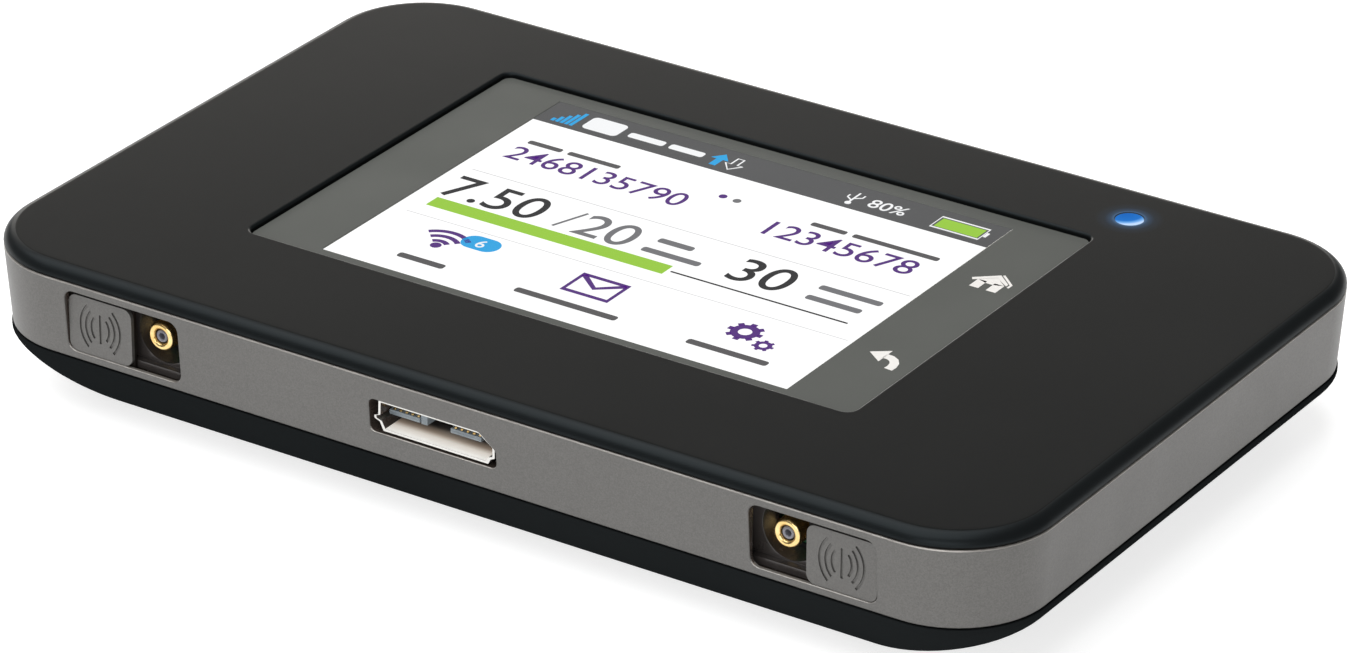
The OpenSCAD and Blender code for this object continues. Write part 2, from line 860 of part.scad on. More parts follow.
module antenna_springs() {
    side_foot = 44.8;
    side_reach = carrier_x - antenna_t - side_foot - 0.02;
    back_foot = 27.3;
    back_reach = carrier_y - antenna_t - back_foot - 0.02;
    color(gold) {
        translate([side_foot, -4.5, 0])
            antenna_clip(side_reach);
        mirror([1, 0, 0])
            translate([side_foot, -4.5, 0])
                antenna_clip(side_reach);
        for (span = [back_left_x, back_right_x])
            translate([(span[0] + span[1]) / 2 + 1.5, back_foot, 0])
                rotate([0, 0, 90])
                    antenna_clip(back_reach);
    }
}

// Cap with rounded ends and a flange that keeps it behind the band's wall
module power_button() {
    flange_back = hollow_hd - 0.15;
    flange_front = flange_back - power_flange_t;
    color([0.12, 0.12, 0.12]) {
        y_bar(power_x, power_z, power_w, power_h, power_r, flange_back - weld, power_face);
        y_bar(power_x, power_z, power_w + 1.4, power_h + 1.2, 0.8, flange_front, flange_back);
        block([power_x - 1, flange_back - power_nub_t, power_z - 0.7],
            [power_x + 1, flange_front + weld, power_z + 0.7]);
    }
}

module power_switch() {
    nub_front = hollow_hd - 0.15 - power_nub_t - power_travel - 0.05;
    body_back = 29.9;
    color([0.80, 0.80, 0.78]) {
        block([power_x - 2.6, 28.0, board_top], [power_x + 2.6, body_back, 11.6]);
        block([power_x - 0.9, body_back - weld, power_z - 0.6],
            [power_x + 0.9, nub_front, power_z + 0.6]);
    }
}

module reset_button() {
    color([0.85, 0.25, 0.15])
        translate([reset_pos[0], reset_pos[1], reset_z0])
            cylinder(h = reset_h, r = reset_r);
}

module reset_switch() {
    color([0.15, 0.15, 0.15])
        difference() {
            block([reset_pos[0] - switch_hw, reset_pos[1] - switch_hw, reset_z0 + 0.7],
                [reset_pos[0] + switch_hw, reset_pos[1] + switch_hw, board_z]);
            translate([reset_pos[0], reset_pos[1], reset_z0 - 1])
                cylinder(h = reset_h + 1.4, r = reset_r + 0.05);
        }
}

module case_screws() {
    socket = [1.8, 0.4, 1.0];
    color([0.35, 0.35, 0.37])
        for (p = screw_places)
            translate([p[0], p[1], deck_bottom - screw_head_h])
                difference() {
                    union() {
                        cylinder(h = screw_head_h, r = screw_head_r);
                        cylinder(h = screw_end - deck_bottom + screw_head_h, r = screw_r);
                    }
                    // Cross recess
                    for (a = [0, 90])
                        rotate([0, 0, a])
                            cube(socket, center = true);
                }
}

// Locating tab that stands up inside the band
module tab(x, y, w, d) {
    translate([x, y, (tab_span[0] + tab_span[1]) / 2])
        cube([w, d, tab_span[1] - tab_span[0]], center = true);
}

module battery_cover() {
    side_x = hollow_hw - tab_play - tab_size[1] / 2;
    side_y = hollow_hd - tab_play - tab_size[1] / 2;
    notch_w = 9;
    notch_r = 1.3;
    color(shell_black)
        difference() {
            union() {
                difference() {
                    bowl_form(0, 0, cover_rim);
                    bowl_form(wall, wall, cover_rim + 1);
                }
                for (x = front_tab_x)
                    tab(x, -side_y, tab_size[0], tab_size[1]);
                for (x = back_tab_x)
                    tab(x, side_y, tab_size[0], tab_size[1]);
                for (side = [-1, 1], y = side_tab_y)
                    tab(side * side_x, y, tab_size[1], tab_size[0]);
            }
            // Fingernail notch in the rim at the back
            translate([22 - half_w, half_d, cover_rim + 0.6])
                rotate([0, 90, 0])
                    cylinder(h = notch_w, r = notch_r, center = true);
        }
}

top_cover();
touch_glass();
glass_adhesive();
lcd_panel();
light_guide();
lcd_frame();
display_flex();
touch_flex();
flex_connectors();
led_lens();
status_led();
side_band();
chassis();
left_port_well();
right_port_well();
left_port_door();
right_port_door();
left_jack_barrel();
left_jack_insulator();
left_jack_contact();
right_jack_barrel();
right_jack_insulator();
right_jack_contact();
usb_shell();
usb_tongue();
usb_contacts();
main_board();
modem_shield();
radio_shield();
power_shield();
modem_chip();
memory_chip();
wifi_chip();
power_chip();
board_components();
battery_connector();
battery_springs();
battery();
battery_terminals();
sim_holder();
sim_contacts();
sim_card();
main_antenna();
diversity_antenna();
wifi_antenna_left();
wifi_antenna_right();
antenna_springs();
power_button();
power_switch();
reset_button();
reset_switch();
case_screws();
battery_cover();
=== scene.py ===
import json
import math

import bmesh
import bpy
from mathutils import Matrix, Vector


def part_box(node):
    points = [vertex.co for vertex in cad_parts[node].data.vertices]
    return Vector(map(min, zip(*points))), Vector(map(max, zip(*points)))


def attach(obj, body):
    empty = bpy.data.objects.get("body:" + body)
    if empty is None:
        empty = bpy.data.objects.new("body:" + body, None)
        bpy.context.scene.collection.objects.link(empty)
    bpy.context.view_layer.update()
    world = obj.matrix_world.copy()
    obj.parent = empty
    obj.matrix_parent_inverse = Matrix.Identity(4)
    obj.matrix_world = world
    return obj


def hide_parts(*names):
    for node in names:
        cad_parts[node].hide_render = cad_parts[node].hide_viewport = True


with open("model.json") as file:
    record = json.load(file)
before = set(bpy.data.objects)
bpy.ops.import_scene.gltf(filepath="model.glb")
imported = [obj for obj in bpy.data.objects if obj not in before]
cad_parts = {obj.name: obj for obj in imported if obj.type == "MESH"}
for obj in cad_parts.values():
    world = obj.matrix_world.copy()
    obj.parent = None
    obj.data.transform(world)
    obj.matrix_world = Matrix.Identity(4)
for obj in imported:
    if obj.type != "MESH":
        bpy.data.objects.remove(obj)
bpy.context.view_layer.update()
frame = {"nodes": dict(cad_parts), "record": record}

MM = 0.001
CORNER_STEPS = 16
SHARP_ANGLE = math.radians(32)

# ---- places read from the frame
band_low, band_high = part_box("side_band")
top_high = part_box("top_cover")[1]
glass_low, glass_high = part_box("touch_glass")
lens_low, lens_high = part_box("led_lens")
door_low, door_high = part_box("right_port_door")
barrel_low, barrel_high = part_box("right_jack_barrel")
shell_low, shell_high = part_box("usb_shell")
tongue_low, tongue_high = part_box("usb_tongue")
pins_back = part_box("usb_contacts")[1].y
key_low, key_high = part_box("power_button")

HALF_W = band_high.x
HALF_D = band_high.y
LENS_MIDDLE = (lens_low + lens_high) / 2
LENS_R = (lens_high.x - lens_low.x) / 2

# ---- sizes that the frame doesn't hold
CORNER_R = 9.6 * MM
EDGE_H = 1.24 * MM
EDGE_W = 1.32 * MM
BAND_DRAFT = 0.56 * MM
HOLLOW_HALF_W = 53.14 * MM
HOLLOW_HALF_D = 32.60 * MM
HOLLOW_R = 7.74 * MM
BASE_INSET_X = 11.2 * MM
BASE_INSET_Y = 5.75 * MM
BASE_CORNER_R = 4.4 * MM
SIDE_POWER = 1.4
SHELL_WALL = 1.1 * MM
GLASS_R = 0.9 * MM
WINDOW_PLAY = 0.15 * MM
PORT_X = (30.45 * MM, 43.25 * MM)
PORT_Z = (7.10 * MM, 13.34 * MM)
PORT_R = 1.0 * MM
POCKET_Z = (6.75 * MM, 13.70 * MM)
JACK_X = 33.47 * MM
JACK_Z = 10.6 * MM
BARREL_R = 1.40 * MM
BARREL_BORE_R = 0.70 * MM
KEY_HALF = (5.5 * MM, 1.4 * MM)
KEY_PLAY = 0.15 * MM
SKIN = 0.26 * MM
LEDGE_W = 1.7 * MM
LENS_PLAY = 0.05 * MM
DOME_POWER = 0.6
HALO_REACH = 3.2 * MM
CRESCENT_REACH = 2.6 * MM
TAB_Z = (4.6 * MM, 7.1 * MM)
DOOR_Z = (7.14 * MM, 12.85 * MM)
GROOVE_MM = 0.24
GROOVE_DEPTH = 0.17 * MM
PIN_TOP = 10.64 * MM
TONGUE_Z = (10.0 * MM, 10.48 * MM)


# ---- mesh building
def link(name, mesh):
    piece = bpy.data.objects.new(name, mesh)
    bpy.context.scene.collection.objects.link(piece)
    return piece


def mesh_piece(name, points, faces):
    mesh = bpy.data.meshes.new(name)
    mesh.from_pydata([tuple(p) for p in points], [], faces)
    mesh.validate()
    return link(name, mesh)


def evaluated_mesh(piece):
    bpy.context.view_layer.update()
    return bpy.data.meshes.new_from_object(piece.evaluated_get(bpy.context.evaluated_depsgraph_get()))


def bake(piece):
    """Makes the piece's modifiers part of its mesh."""
    done = evaluated_mesh(piece)
    piece.modifiers.clear()
    old = piece.data
    piece.data = done
    bpy.data.meshes.remove(old)
    return piece


def remove(piece):
    bpy.data.objects.remove(piece)


def cut(piece, *cutters, mode="DIFFERENCE"):
    for cutter in cutters:
        boolean = piece.modifiers.new("cut", "BOOLEAN")
        boolean.operation = mode
        boolean.solver = "EXACT"
        boolean.object = cutter
        bake(piece)
        remove(cutter)
    return piece


def tidy_normals(piece):
    """Smooth faces with sharp creases kept, and normals weighted to the large flat faces."""
    mesh = piece.data
    work = bmesh.new()
    work.from_mesh(mesh)
    bmesh.ops.recalc_face_normals(work, faces=work.faces)
    for face in work.faces:
        face.smooth = True
    for edge in work.edges:
        edge.smooth = len(edge.link_faces) == 2 and edge.calc_face_angle(0) < SHARP_ANGLE
    work.to_mesh(mesh)
    work.free()
    weigh = piece.modifiers.new("weigh", "WEIGHTED_NORMAL")
    weigh.keep_sharp = True
    return bake(piece)


def soften(piece, width, segments=2, angle=SHARP_ANGLE):
    """Rounds every crease that is sharper than the angle."""
    bevel = piece.modifiers.new("bevel", "BEVEL")
    bevel.width = width
    bevel.segments = segments
    bevel.limit_method = "ANGLE"
    bevel.angle_limit = angle
    bevel.miter_outer = "MITER_ARC"
    bake(piece)
    return tidy_normals(piece)


def rounded_polygon(corners, radii, steps=8):
    """Outline through the corners, each one rounded by its own radius with an arc of steps spans."""
    points = []
    count = len(corners)
    for i, corner in enumerate(corners):
        here = Vector(corner)
        before = (Vector(corners[i - 1]) - here).normalized()
        after = (Vector(corners[(i + 1) % count]) - here).normalized()
        radius = radii[i] if hasattr(radii, "__len__") else radii
        half = before.angle(after) / 2
        if radius <= 0 or abs(half - math.pi / 2) < 1e-6:
            points.append(here)
            continue
        centre = here + (before + after).normalized() * (radius / math.sin(half))
        start = here + before * (radius / math.tan(half)) - centre
        end = here + after * (radius / math.tan(half)) - centre
        sweep = start.angle_signed(end)
        first = math.atan2(start.y, start.x)
        for k in range(steps + 1):
            angle = first - sweep * k / steps
            points.append(centre + radius * Vector((math.cos(angle), math.sin(angle))))
    return points


def rectangle(x0, y0, x1, y1):
    return [(x0, y0), (x1, y0), (x1, y1), (x0, y1)]


def rounded_rectangle(x0, y0, x1, y1, radius, steps=8):
    return rounded_polygon(rectangle(x0, y0, x1, y1), radius, steps)


def grown(low, high, play, radius):
    """Outline of a box in X and Y, grown by the play on every side."""
    return rounded_rectangle(low.x - play, low.y - play, high.x + play, high.y + play, radius)


def centred(x, y, half_x, half_y, radius, steps):
    return rounded_rectangle(x - half_x, y - half_y, x + half_x, y + half_y, radius, steps)


def case_outline(half_w, half_d, radius):
    return centred(0, 0, half_w, half_d, radius, CORNER_STEPS)


def circle(x, y, radius, steps=48):
    turns = [2 * math.pi * k / steps for k in range(steps)]
    return [Vector((x + radius * math.cos(turn), y + radius * math.sin(turn))) for turn in turns]


def loft(name, rings, tube=False):
    """Skin over rings of equal length; a tube joins the last ring to the first, else both ends are capped."""
    count = len(rings[0])
    points = [p for ring in rings for p in ring]
    faces = []
    spans = len(rings) if tube else len(rings) - 1
    for r in range(spans):
        low = r * count
        high = ((r + 1) % len(rings)) * count
        for k in range(count):
            after = (k + 1) % count
            faces.append((low + k, low + after, high + after, high + k))
    if not tube:
        faces.append(tuple(reversed(range(count))))
        faces.append(tuple(range((len(rings) - 1) * count, len(rings) * count)))
    piece = mesh_piece(name, points, faces)
    work = bmesh.new()
    work.from_mesh(piece.data)
    bmesh.ops.recalc_face_normals(work, faces=work.faces)
    work.to_mesh(piece.data)
    work.free()
    return piece


def level(outline, z):
    return [(p[0], p[1], z) for p in outline]


def case_ring(inset, z):
    """Ring at a height, inside the case's largest outline by the inset."""
    return level(case_outline(HALF_W - inset, HALF_D - inset, CORNER_R - inset), z)


def prism(name, outline, z0, z1):
    """Outline in X and Y, given height."""
    return loft(name, [level(outline, z0), level(outline, z1)])


def front_prism(name, outline, y0, y1):
    """Outline in X and Z, given depth along Y."""
    return loft(name, [[(p[0], y0, p[1]) for p in outline], [(p[0], y1, p[1]) for p in outline]])


def block(name, low, high):
    return prism(name, rectangle(low[0], low[1], high[0], high[1]), low[2], high[2])


def lathe_y(name, x, z, profile, steps=64):
    """Closed profile of (radius, y) points, turned about the line through (x, z) along Y."""
    rings = []
    for k in range(steps):
        angle = 2 * math.pi * k / steps
        rings.append([(x + r * math.cos(angle), y, z + r * math.sin(angle)) for r, y in profile])
    return loft(name, rings, tube=True)


def join(name, pieces):
    """One piece from several, which keep their own closed surfaces."""
    work = bmesh.new()
    for piece in pieces:
        work.from_mesh(piece.data)
    mesh = bpy.data.meshes.new(name)
    work.to_mesh(mesh)
    work.free()
    for piece in pieces:
        remove(piece)
    return link(name, mesh)


def mirrored(name, piece):
    """Copy on the other side of the middle plane."""
    mesh = piece.data.copy()
    work = bmesh.new()
    work.from_mesh(mesh)
    bmesh.ops.scale(work, vec=(-1, 1, 1), verts=work.verts)
    bmesh.ops.reverse_faces(work, faces=work.faces)
    work.to_mesh(mesh)
    work.free()
    return tidy_normals(link(name, mesh))


def refined(node, width, segments=2):
    """Copy of a CAD node with its flat faces merged and its creases rounded."""
    mesh = frame["nodes"][node].data.copy()
    mesh.materials.clear()
    work = bmesh.new()
    work.from_mesh(mesh)
    bmesh.ops.remove_doubles(work, verts=work.verts, dist=1e-7)
    bmesh.ops.dissolve_limit(work, angle_limit=math.radians(0.5), verts=work.verts, edges=work.edges)
    work.to_mesh(mesh)
    work.free()
    return soften(link(node + "_fine", mesh), width, segments)


def place(piece, material, body, slot, *nodes):
    piece.data.materials.clear()
    piece.data.materials.append(material)
    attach(piece, body)
    if nodes:
        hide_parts(*nodes)
    return piece


# ---- materials
def set_values(node, values):
    """Sets a node's own sockets; an underscore in a name stands for a space."""
    for socket, value in values.items():
        node.inputs[socket.replace("_", " ")].default_value = value
    return node


def new_material(name, **values):
    """Material with one Principled shader; values are set on the shader's own sockets."""
    material = bpy.data.materials.new(name)
    material.use_nodes = True
    tree = material.node_tree
    return material, tree, set_values(tree.nodes["Principled BSDF"], values)


def add_node(tree, kind, **values):
    return set_values(tree.nodes.new("ShaderNode" + kind), values)


def rgb(r, g, b):
    return (r, g, b, 1.0)


def coords(tree, stretch=(1, 1, 1)):
    mapping = add_node(tree, "Mapping", Scale=stretch)
    tree.links.new(add_node(tree, "TexCoord").outputs["Object"], mapping.inputs["Vector"])
    return mapping.outputs["Vector"]


def noise(tree, scale, detail=4.0, rough=0.5, stretch=(1, 1, 1)):
    node = add_node(tree, "TexNoise", Scale=scale, Detail=detail, Roughness=rough)
    tree.links.new(coords(tree, stretch), node.inputs["Vector"])
    return node.outputs["Fac"]


def tint(tree, shader, socket, factor, stops):
    """Colour of one of the shader's sockets, from stops along the factor."""
    node = add_node(tree, "ValToRGB")
    while len(node.color_ramp.elements) < len(stops):
        node.color_ramp.elements.new(0.5)
    for element, (position, colour) in zip(node.color_ramp.elements, stops):
        element.position = position
        element.color = (*colour, 1.0)
    tree.links.new(factor, node.inputs["Fac"])
    tree.links.new(node.outputs["Color"], shader.inputs[socket])


def paint(tree, shader, factor, dark, light):
    """Base colour that goes from dark to light with the factor."""
    tint(tree, shader, "Base Color", factor, [(0.3, dark), (0.7, light)])


def gloss(tree, shader, factor, low, high):
    """Roughness that goes from low to high with the factor."""
    node = add_node(tree, "MapRange", From_Min=0.25, From_Max=0.75, To_Min=low, To_Max=high)
    tree.links.new(factor, node.inputs["Value"])
    tree.links.new(node.outputs["Result"], shader.inputs["Roughness"])


def bump(tree, shader, height, distance, strength=1.0):
    node = add_node(tree, "Bump", Distance=distance, Strength=strength)
    tree.links.new(height, node.inputs["Height"])
    tree.links.new(node.outputs["Normal"], shader.inputs["Normal"])


def varied(name, dark, light, rough, grain, depth_mm, patch=60.0, **values):
    """Surface whose colour and gloss drift over patches, with a fine grain in its relief."""
    material, tree, shader = new_material(name, **values)
    paint(tree, shader, noise(tree, patch, 3.0), dark, light)
    gloss(tree, shader, noise(tree, patch * 2.3, 5.0), *rough)
    bump(tree, shader, noise(tree, grain, 2.0), depth_mm * MM)
    return material


def brushed(name, dark, light, rough, along):
    """Metal with fine lines drawn along one axis."""
    material, tree, shader = new_material(name, Metallic=1.0)
    stretch = [2.0 if axis == along else 60.0 for axis in range(3)]
    lines = noise(tree, 120.0, 3.0, 0.6, stretch)
    paint(tree, shader, lines, dark, light)
    gloss(tree, shader, lines, *rough)
    bump(tree, shader, lines, 0.004 * MM)
    return material


def lit(name, colour, strength=1.0, glow=0.02):
    """Lit print on the display, with the faint unevenness of a back light."""
    material, tree, shader = new_material("screen_" + name, Base_Color=rgb(0.02, 0.02, 0.02), Roughness=0.12,
                                          Emission_Strength=strength)
    dim = [c * (1 - glow) for c in colour]
    tint(tree, shader, "Emission Color", noise(tree, 40.0, 2.0), [(0.35, dim), (0.65, colour)])
    return material


def from_point(tree, point, reach):
    """Share of the way from a point on the object, 0 there and 1 at the reach."""
    distance = add_node(tree, "VectorMath")
    distance.operation = "DISTANCE"
    distance.inputs[1].default_value = point
    tree.links.new(coords(tree), distance.inputs[0])
    share = add_node(tree, "MapRange", From_Max=reach)
    tree.links.new(distance.outputs["Value"], share.inputs["Value"])
    return share.outputs["Result"]


def along_axis(tree, axis, low, high):
    """Share of the way along one axis of the object, 0 at the low place and 1 at the high one."""
    split = add_node(tree, "SeparateXYZ")
    tree.links.new(coords(tree), split.inputs["Vector"])
    share = add_node(tree, "MapRange", From_Min=low, From_Max=high)
    tree.links.new(split.outputs[axis], share.inputs["Value"])
    return share.outputs["Result"]


def soft_touch_material(name, specular, dark, light):
    """Rubbery black paint: a very fine grain, and a gloss that drifts with handling."""
    material, tree, shader = new_material(name, Specular_IOR_Level=specular)
    paint(tree, shader, noise(tree, 35.0, 3.0), dark, light)
    gloss(tree, shader, noise(tree, 90.0, 5.0), 0.34, 0.40)
    bump(tree, shader, noise(tree, 9000.0, 2.0), 0.003 * MM)
    return material, tree, shader


def top_cover_material():
    """Soft-touch paint, with a painted glow of the status light round its hole: emission that stands in for
    the lamp's light falling on the cover.
    """
    material, tree, shader = soft_touch_material("soft_touch", 0.032, (0.0050, 0.0058, 0.0060),
                                                 (0.0064, 0.0072, 0.0074))
    # painted glow: blue emission that fades out from the lens over the halo reach
    share = from_point(tree, (LENS_MIDDLE.x, LENS_MIDDLE.y, lens_high.z), HALO_REACH)
    tint(tree, shader, "Emission Color", share, [
        (0.0, (0.05, 0.16, 0.34)), (0.42, (0.050, 0.125, 0.25)), (0.54, (0.014, 0.038, 0.078)),
        (0.72, (0.003, 0.009, 0.018)), (1.0, (0.0, 0.0, 0.0))])
    shader.inputs["Emission Strength"].default_value = 1.0
    return material


def cover_edge_sheen_material():
    """Painted sheen: a copy of the cover's paint for its rounded edge, with a lighter, bluer base and a
    stronger cool specular, so the edge shows a lit strip.
    """
    material, _, shader = soft_touch_material("soft_touch_edge_sheen", 0.15, (0.0050, 0.0060, 0.0064),
                                              (0.0064, 0.0075, 0.0080))
    shader.inputs["Specular Tint"].default_value = rgb(0.78, 0.93, 1.0)
    return material


def band_material():
    """Satin metallic paint with fine flakes."""
    material, tree, shader = new_material("band_paint", Metallic=0.55, Coat_Weight=0.08, Coat_Roughness=0.35)
    flakes = add_node(tree, "TexVoronoi", Scale=9000.0)
    tree.links.new(coords(tree), flakes.inputs["Vector"])
    tint(tree, shader, "Base Color", flakes.outputs["Color"],
         [(0.1, (0.112, 0.109, 0.104)), (0.9, (0.143, 0.139, 0.133))])
    gloss(tree, shader, noise(tree, 110.0, 4.0), 0.42, 0.50)
    bump(tree, shader, noise(tree, 5200.0, 3.0), 0.003 * MM)
    return material


def band_edge_highlight_material():
    """Painted highlight: a lighter, glossier copy of the band's paint, laid on the up-facing rounded edges
    where they catch the light.
    """
    material, tree, shader = new_material("band_edge", Metallic=0.6)
    paint(tree, shader, noise(tree, 700.0, 3.0), (0.36, 0.34, 0.32), (0.46, 0.44, 0.41))
    gloss(tree, shader, noise(tree, 300.0, 4.0), 0.30, 0.38)
    bump(tree, shader, noise(tree, 5200.0, 3.0), 0.002 * MM)
    return material


def port_floor_lit_material():
    """Tin inside the connector with painted light: a bright emission and light base at its mouth that fade to
    tan and then dark further in, standing for light falling into the opening and shade deeper in.
    """
    material, tree, shader = new_material("port_floor", Metallic=0.7, Emission_Strength=1.0)
    depth = along_axis(tree, "Y", shell_low.y, shell_low.y + 3.2 * MM)
    tint(tree, shader, "Base Color", depth,
         [(0.0, (0.92, 0.91, 0.88)), (0.5, (0.60, 0.52, 0.44)), (1.0, (0.10, 0.08, 0.07))])
    tint(tree, shader, "Emission Color", depth, [
        (0.0, (0.62, 0.61, 0.58)), (0.35, (0.55, 0.51, 0.46)), (0.6, (0.16, 0.12, 0.09)),
        (0.9, (0.0, 0.0, 0.0))])
    gloss(tree, shader, noise(tree, 1500.0, 3.0), 0.30, 0.42)
    return material


def gold_material():
    material, tree, shader = new_material("gold_plate", Metallic=1.0)
    paint(tree, shader, noise(tree, 900.0, 4.0), (0.78, 0.53, 0.20), (0.92, 0.70, 0.34))
    gloss(tree, shader, noise(tree, 2600.0, 3.0), 0.16, 0.30)
    bump(tree, shader, noise(tree, 4000.0, 2.0, 0.5, (1, 6, 1)), 0.002 * MM)
    return material


def lens_material():
    """Frosted lens, lit from below: a bright crescent along one side of its rim."""
    material, tree, shader = new_material("led_lens_lit", Base_Color=rgb(0.01, 0.05, 0.16), Roughness=0.25,
                                          Emission_Strength=1.0, Specular_IOR_Level=0.0)
    far_side = (LENS_MIDDLE.x - 0.90 * MM, LENS_MIDDLE.y + 0.80 * MM, lens_high.z)
    tint(tree, shader, "Emission Color", from_point(tree, far_side, CRESCENT_REACH), [
        (0.0, (0.006, 0.080, 0.33)), (0.60, (0.012, 0.125, 0.42)), (0.74, (0.16, 0.38, 0.70)),
        (0.86, (0.56, 0.70, 0.88))])
    return material


def board_material():
    """Green solder mask with faint copper tracks under it."""
    material, tree, shader = new_material("solder_mask", Coat_Weight=0.5, Coat_Roughness=0.15)
    brick = add_node(tree, "TexBrick", Scale=900.0, Mortar_Size=0.12, Color1=rgb(0.010, 0.080, 0.035),
                     Color2=rgb(0.014, 0.105, 0.050), Mortar=rgb(0.030, 0.150, 0.060))
    tree.links.new(coords(tree), brick.inputs["Vector"])
    tree.links.new(brick.outputs["Color"], shader.inputs["Base Color"])
    gloss(tree, shader, noise(tree, 300.0), 0.30, 0.42)
    bump(tree, shader, brick.outputs["Fac"], 0.01 * MM, 0.4)
    return material


SOFT = top_cover_material()
SOFT_EDGE_SHEEN = cover_edge_sheen_material()
SHELL = soft_touch_material("soft_touch_base", 0.0, (0.0098, 0.0112, 0.0118),
                            (0.0122, 0.0138, 0.0144))[0]
BAND = band_material()
BAND_EDGE_HIGHLIGHT = band_edge_highlight_material()
PORT_FLOOR_LIT = port_floor_lit_material()
GOLD = gold_material()
LENS = lens_material()
BOARD = board_material()
BORDER = varied("glass_border", (0.098, 0.102, 0.094), (0.108, 0.112, 0.104), (0.12, 0.17), 2500.0,
                0.0006, Specular_IOR_Level=0.35)
# dark resin of the band's openings; on the USB shell's inner side wall it stands as painted shade
RECESS = varied("port_resin", (0.040, 0.030, 0.025), (0.058, 0.045, 0.038), (0.20, 0.30), 5000.0,
                0.004, 300.0, Specular_IOR_Level=1.0)
WELL = varied("well_resin", (0.036, 0.031, 0.029), (0.052, 0.046, 0.044), (0.20, 0.28), 5000.0,
              0.004, 300.0, Specular_IOR_Level=1.0)
FLANGE = varied("flange_resin", (0.008, 0.006, 0.005), (0.013, 0.010, 0.009), (0.5, 0.6), 5000.0,
                0.004, 300.0, Specular_IOR_Level=0.1)
RESIN = varied("dark_resin", (0.012, 0.012, 0.013), (0.020, 0.020, 0.021), (0.42, 0.58), 3500.0,
               0.010, 120.0)
CHIP = varied("chip_resin", (0.010, 0.010, 0.011), (0.018, 0.018, 0.019), (0.35, 0.5), 6000.0,
              0.006, 500.0)
WRAP = varied("battery_wrap", (0.022, 0.022, 0.024), (0.034, 0.034, 0.037), (0.26, 0.38), 800.0,
              0.015, 90.0, Coat_Weight=0.2)
LABEL = varied("battery_label", (0.52, 0.53, 0.54), (0.60, 0.61, 0.62), (0.38, 0.5), 2000.0,
               0.004, 150.0)
CARD = varied("card_plastic", (0.72, 0.72, 0.69), (0.80, 0.80, 0.77), (0.35, 0.45), 3000.0, 0.003)
INSULATOR = varied("insulator", (0.15, 0.15, 0.18), (0.24, 0.24, 0.28), (0.2, 0.3), 8000.0,
                   0.004, 900.0)
BLUE_RESIN = varied("tongue_resin", (0.16, 0.19, 0.215), (0.26, 0.30, 0.33), (0.3, 0.4), 6000.0,
                    0.004, 900.0)
FILM = varied("flex_film", (0.33, 0.15, 0.03), (0.45, 0.22, 0.05), (0.2, 0.3), 3000.0, 0.003)
IVORY = varied("ivory_resin", (0.60, 0.57, 0.50), (0.70, 0.67, 0.60), (0.4, 0.5), 4000.0,
               0.006, 300.0)
ADHESIVE = varied("adhesive", (0.010, 0.010, 0.010), (0.018, 0.018, 0.018), (0.7, 0.85), 5000.0,
                  0.02)
CERAMIC = varied("capacitor_ceramic", (0.33, 0.25, 0.16), (0.48, 0.38, 0.26), (0.35, 0.5), 5000.0,
                 0.006, 500.0)
GUIDE = varied("acrylic", (0.78, 0.80, 0.82), (0.86, 0.88, 0.90), (0.1, 0.2), 1500.0, 0.003)
KEY = varied("key_resin", (0.014, 0.014, 0.014), (0.021, 0.021, 0.021), (0.38, 0.48), 6000.0,
             0.005, 200.0)
RESET = varied("reset_resin", (0.48, 0.05, 0.03), (0.58, 0.07, 0.04), (0.35, 0.45), 4000.0,
               0.006, 300.0)
COPPER = brushed("copper_foil", (0.70, 0.33, 0.18), (0.86, 0.46, 0.28), (0.25, 0.4), 1)
STEEL = brushed("plated_steel", (0.60, 0.59, 0.57), (0.74, 0.73, 0.70), (0.24, 0.38), 0)
CAN = brushed("can_steel", (0.55, 0.55, 0.55), (0.68, 0.68, 0.67), (0.32, 0.46), 1)
SCREW = brushed("screw_steel", (0.10, 0.10, 0.11), (0.16, 0.16, 0.17), (0.28, 0.4), 0)
ICON = varied("icon_print", (0.74, 0.72, 0.69), (0.80, 0.78, 0.75), (0.4, 0.5), 4000.0, 0.002)


# ---- shells
def window_outline(play):
    """Outline of the cover glass, grown by the play on every side."""
    return grown(glass_low, glass_high, play, GLASS_R + play)


def build_top_cover():
    base = top_high.z - EDGE_H
    rings = [case_ring(0.10 * MM, base), case_ring(0.01 * MM, base + 0.06 * MM)]
    spans = 12
    for k in range(1, spans + 1):
        angle = math.pi / 2 * k / spans
        inset = EDGE_W * (1 - math.cos(angle))
        rings.append(case_ring(inset, base + EDGE_H * math.sin(angle)))
    rings.append(case_ring(EDGE_W + 0.5 * MM, top_high.z))
    cover = loft("top_cover_shell", rings)
    window = prism("window_cutter", window_outline(WINDOW_PLAY), base - MM, top_high.z + MM)
    hole = prism("lens_cutter", circle(LENS_MIDDLE.x, LENS_MIDDLE.y, LENS_R + LENS_PLAY), base - MM,
                 top_high.z + MM)
    cut(cover, window, hole)
    cut(cover, window_rim_cutter())
    soften(cover, 0.20 * MM, 3)
    place(cover, SOFT, "case", "soft_cover", "top_cover")
    cover.data.materials.append(SOFT_EDGE_SHEEN)
    # painted sheen: the rounded edge faces, picked by how far they tilt from upward, take the lighter copy of
    # the paint
    for face in cover.data.polygons:
        face.material_index = int(0.1 < face.normal.z < 0.985)


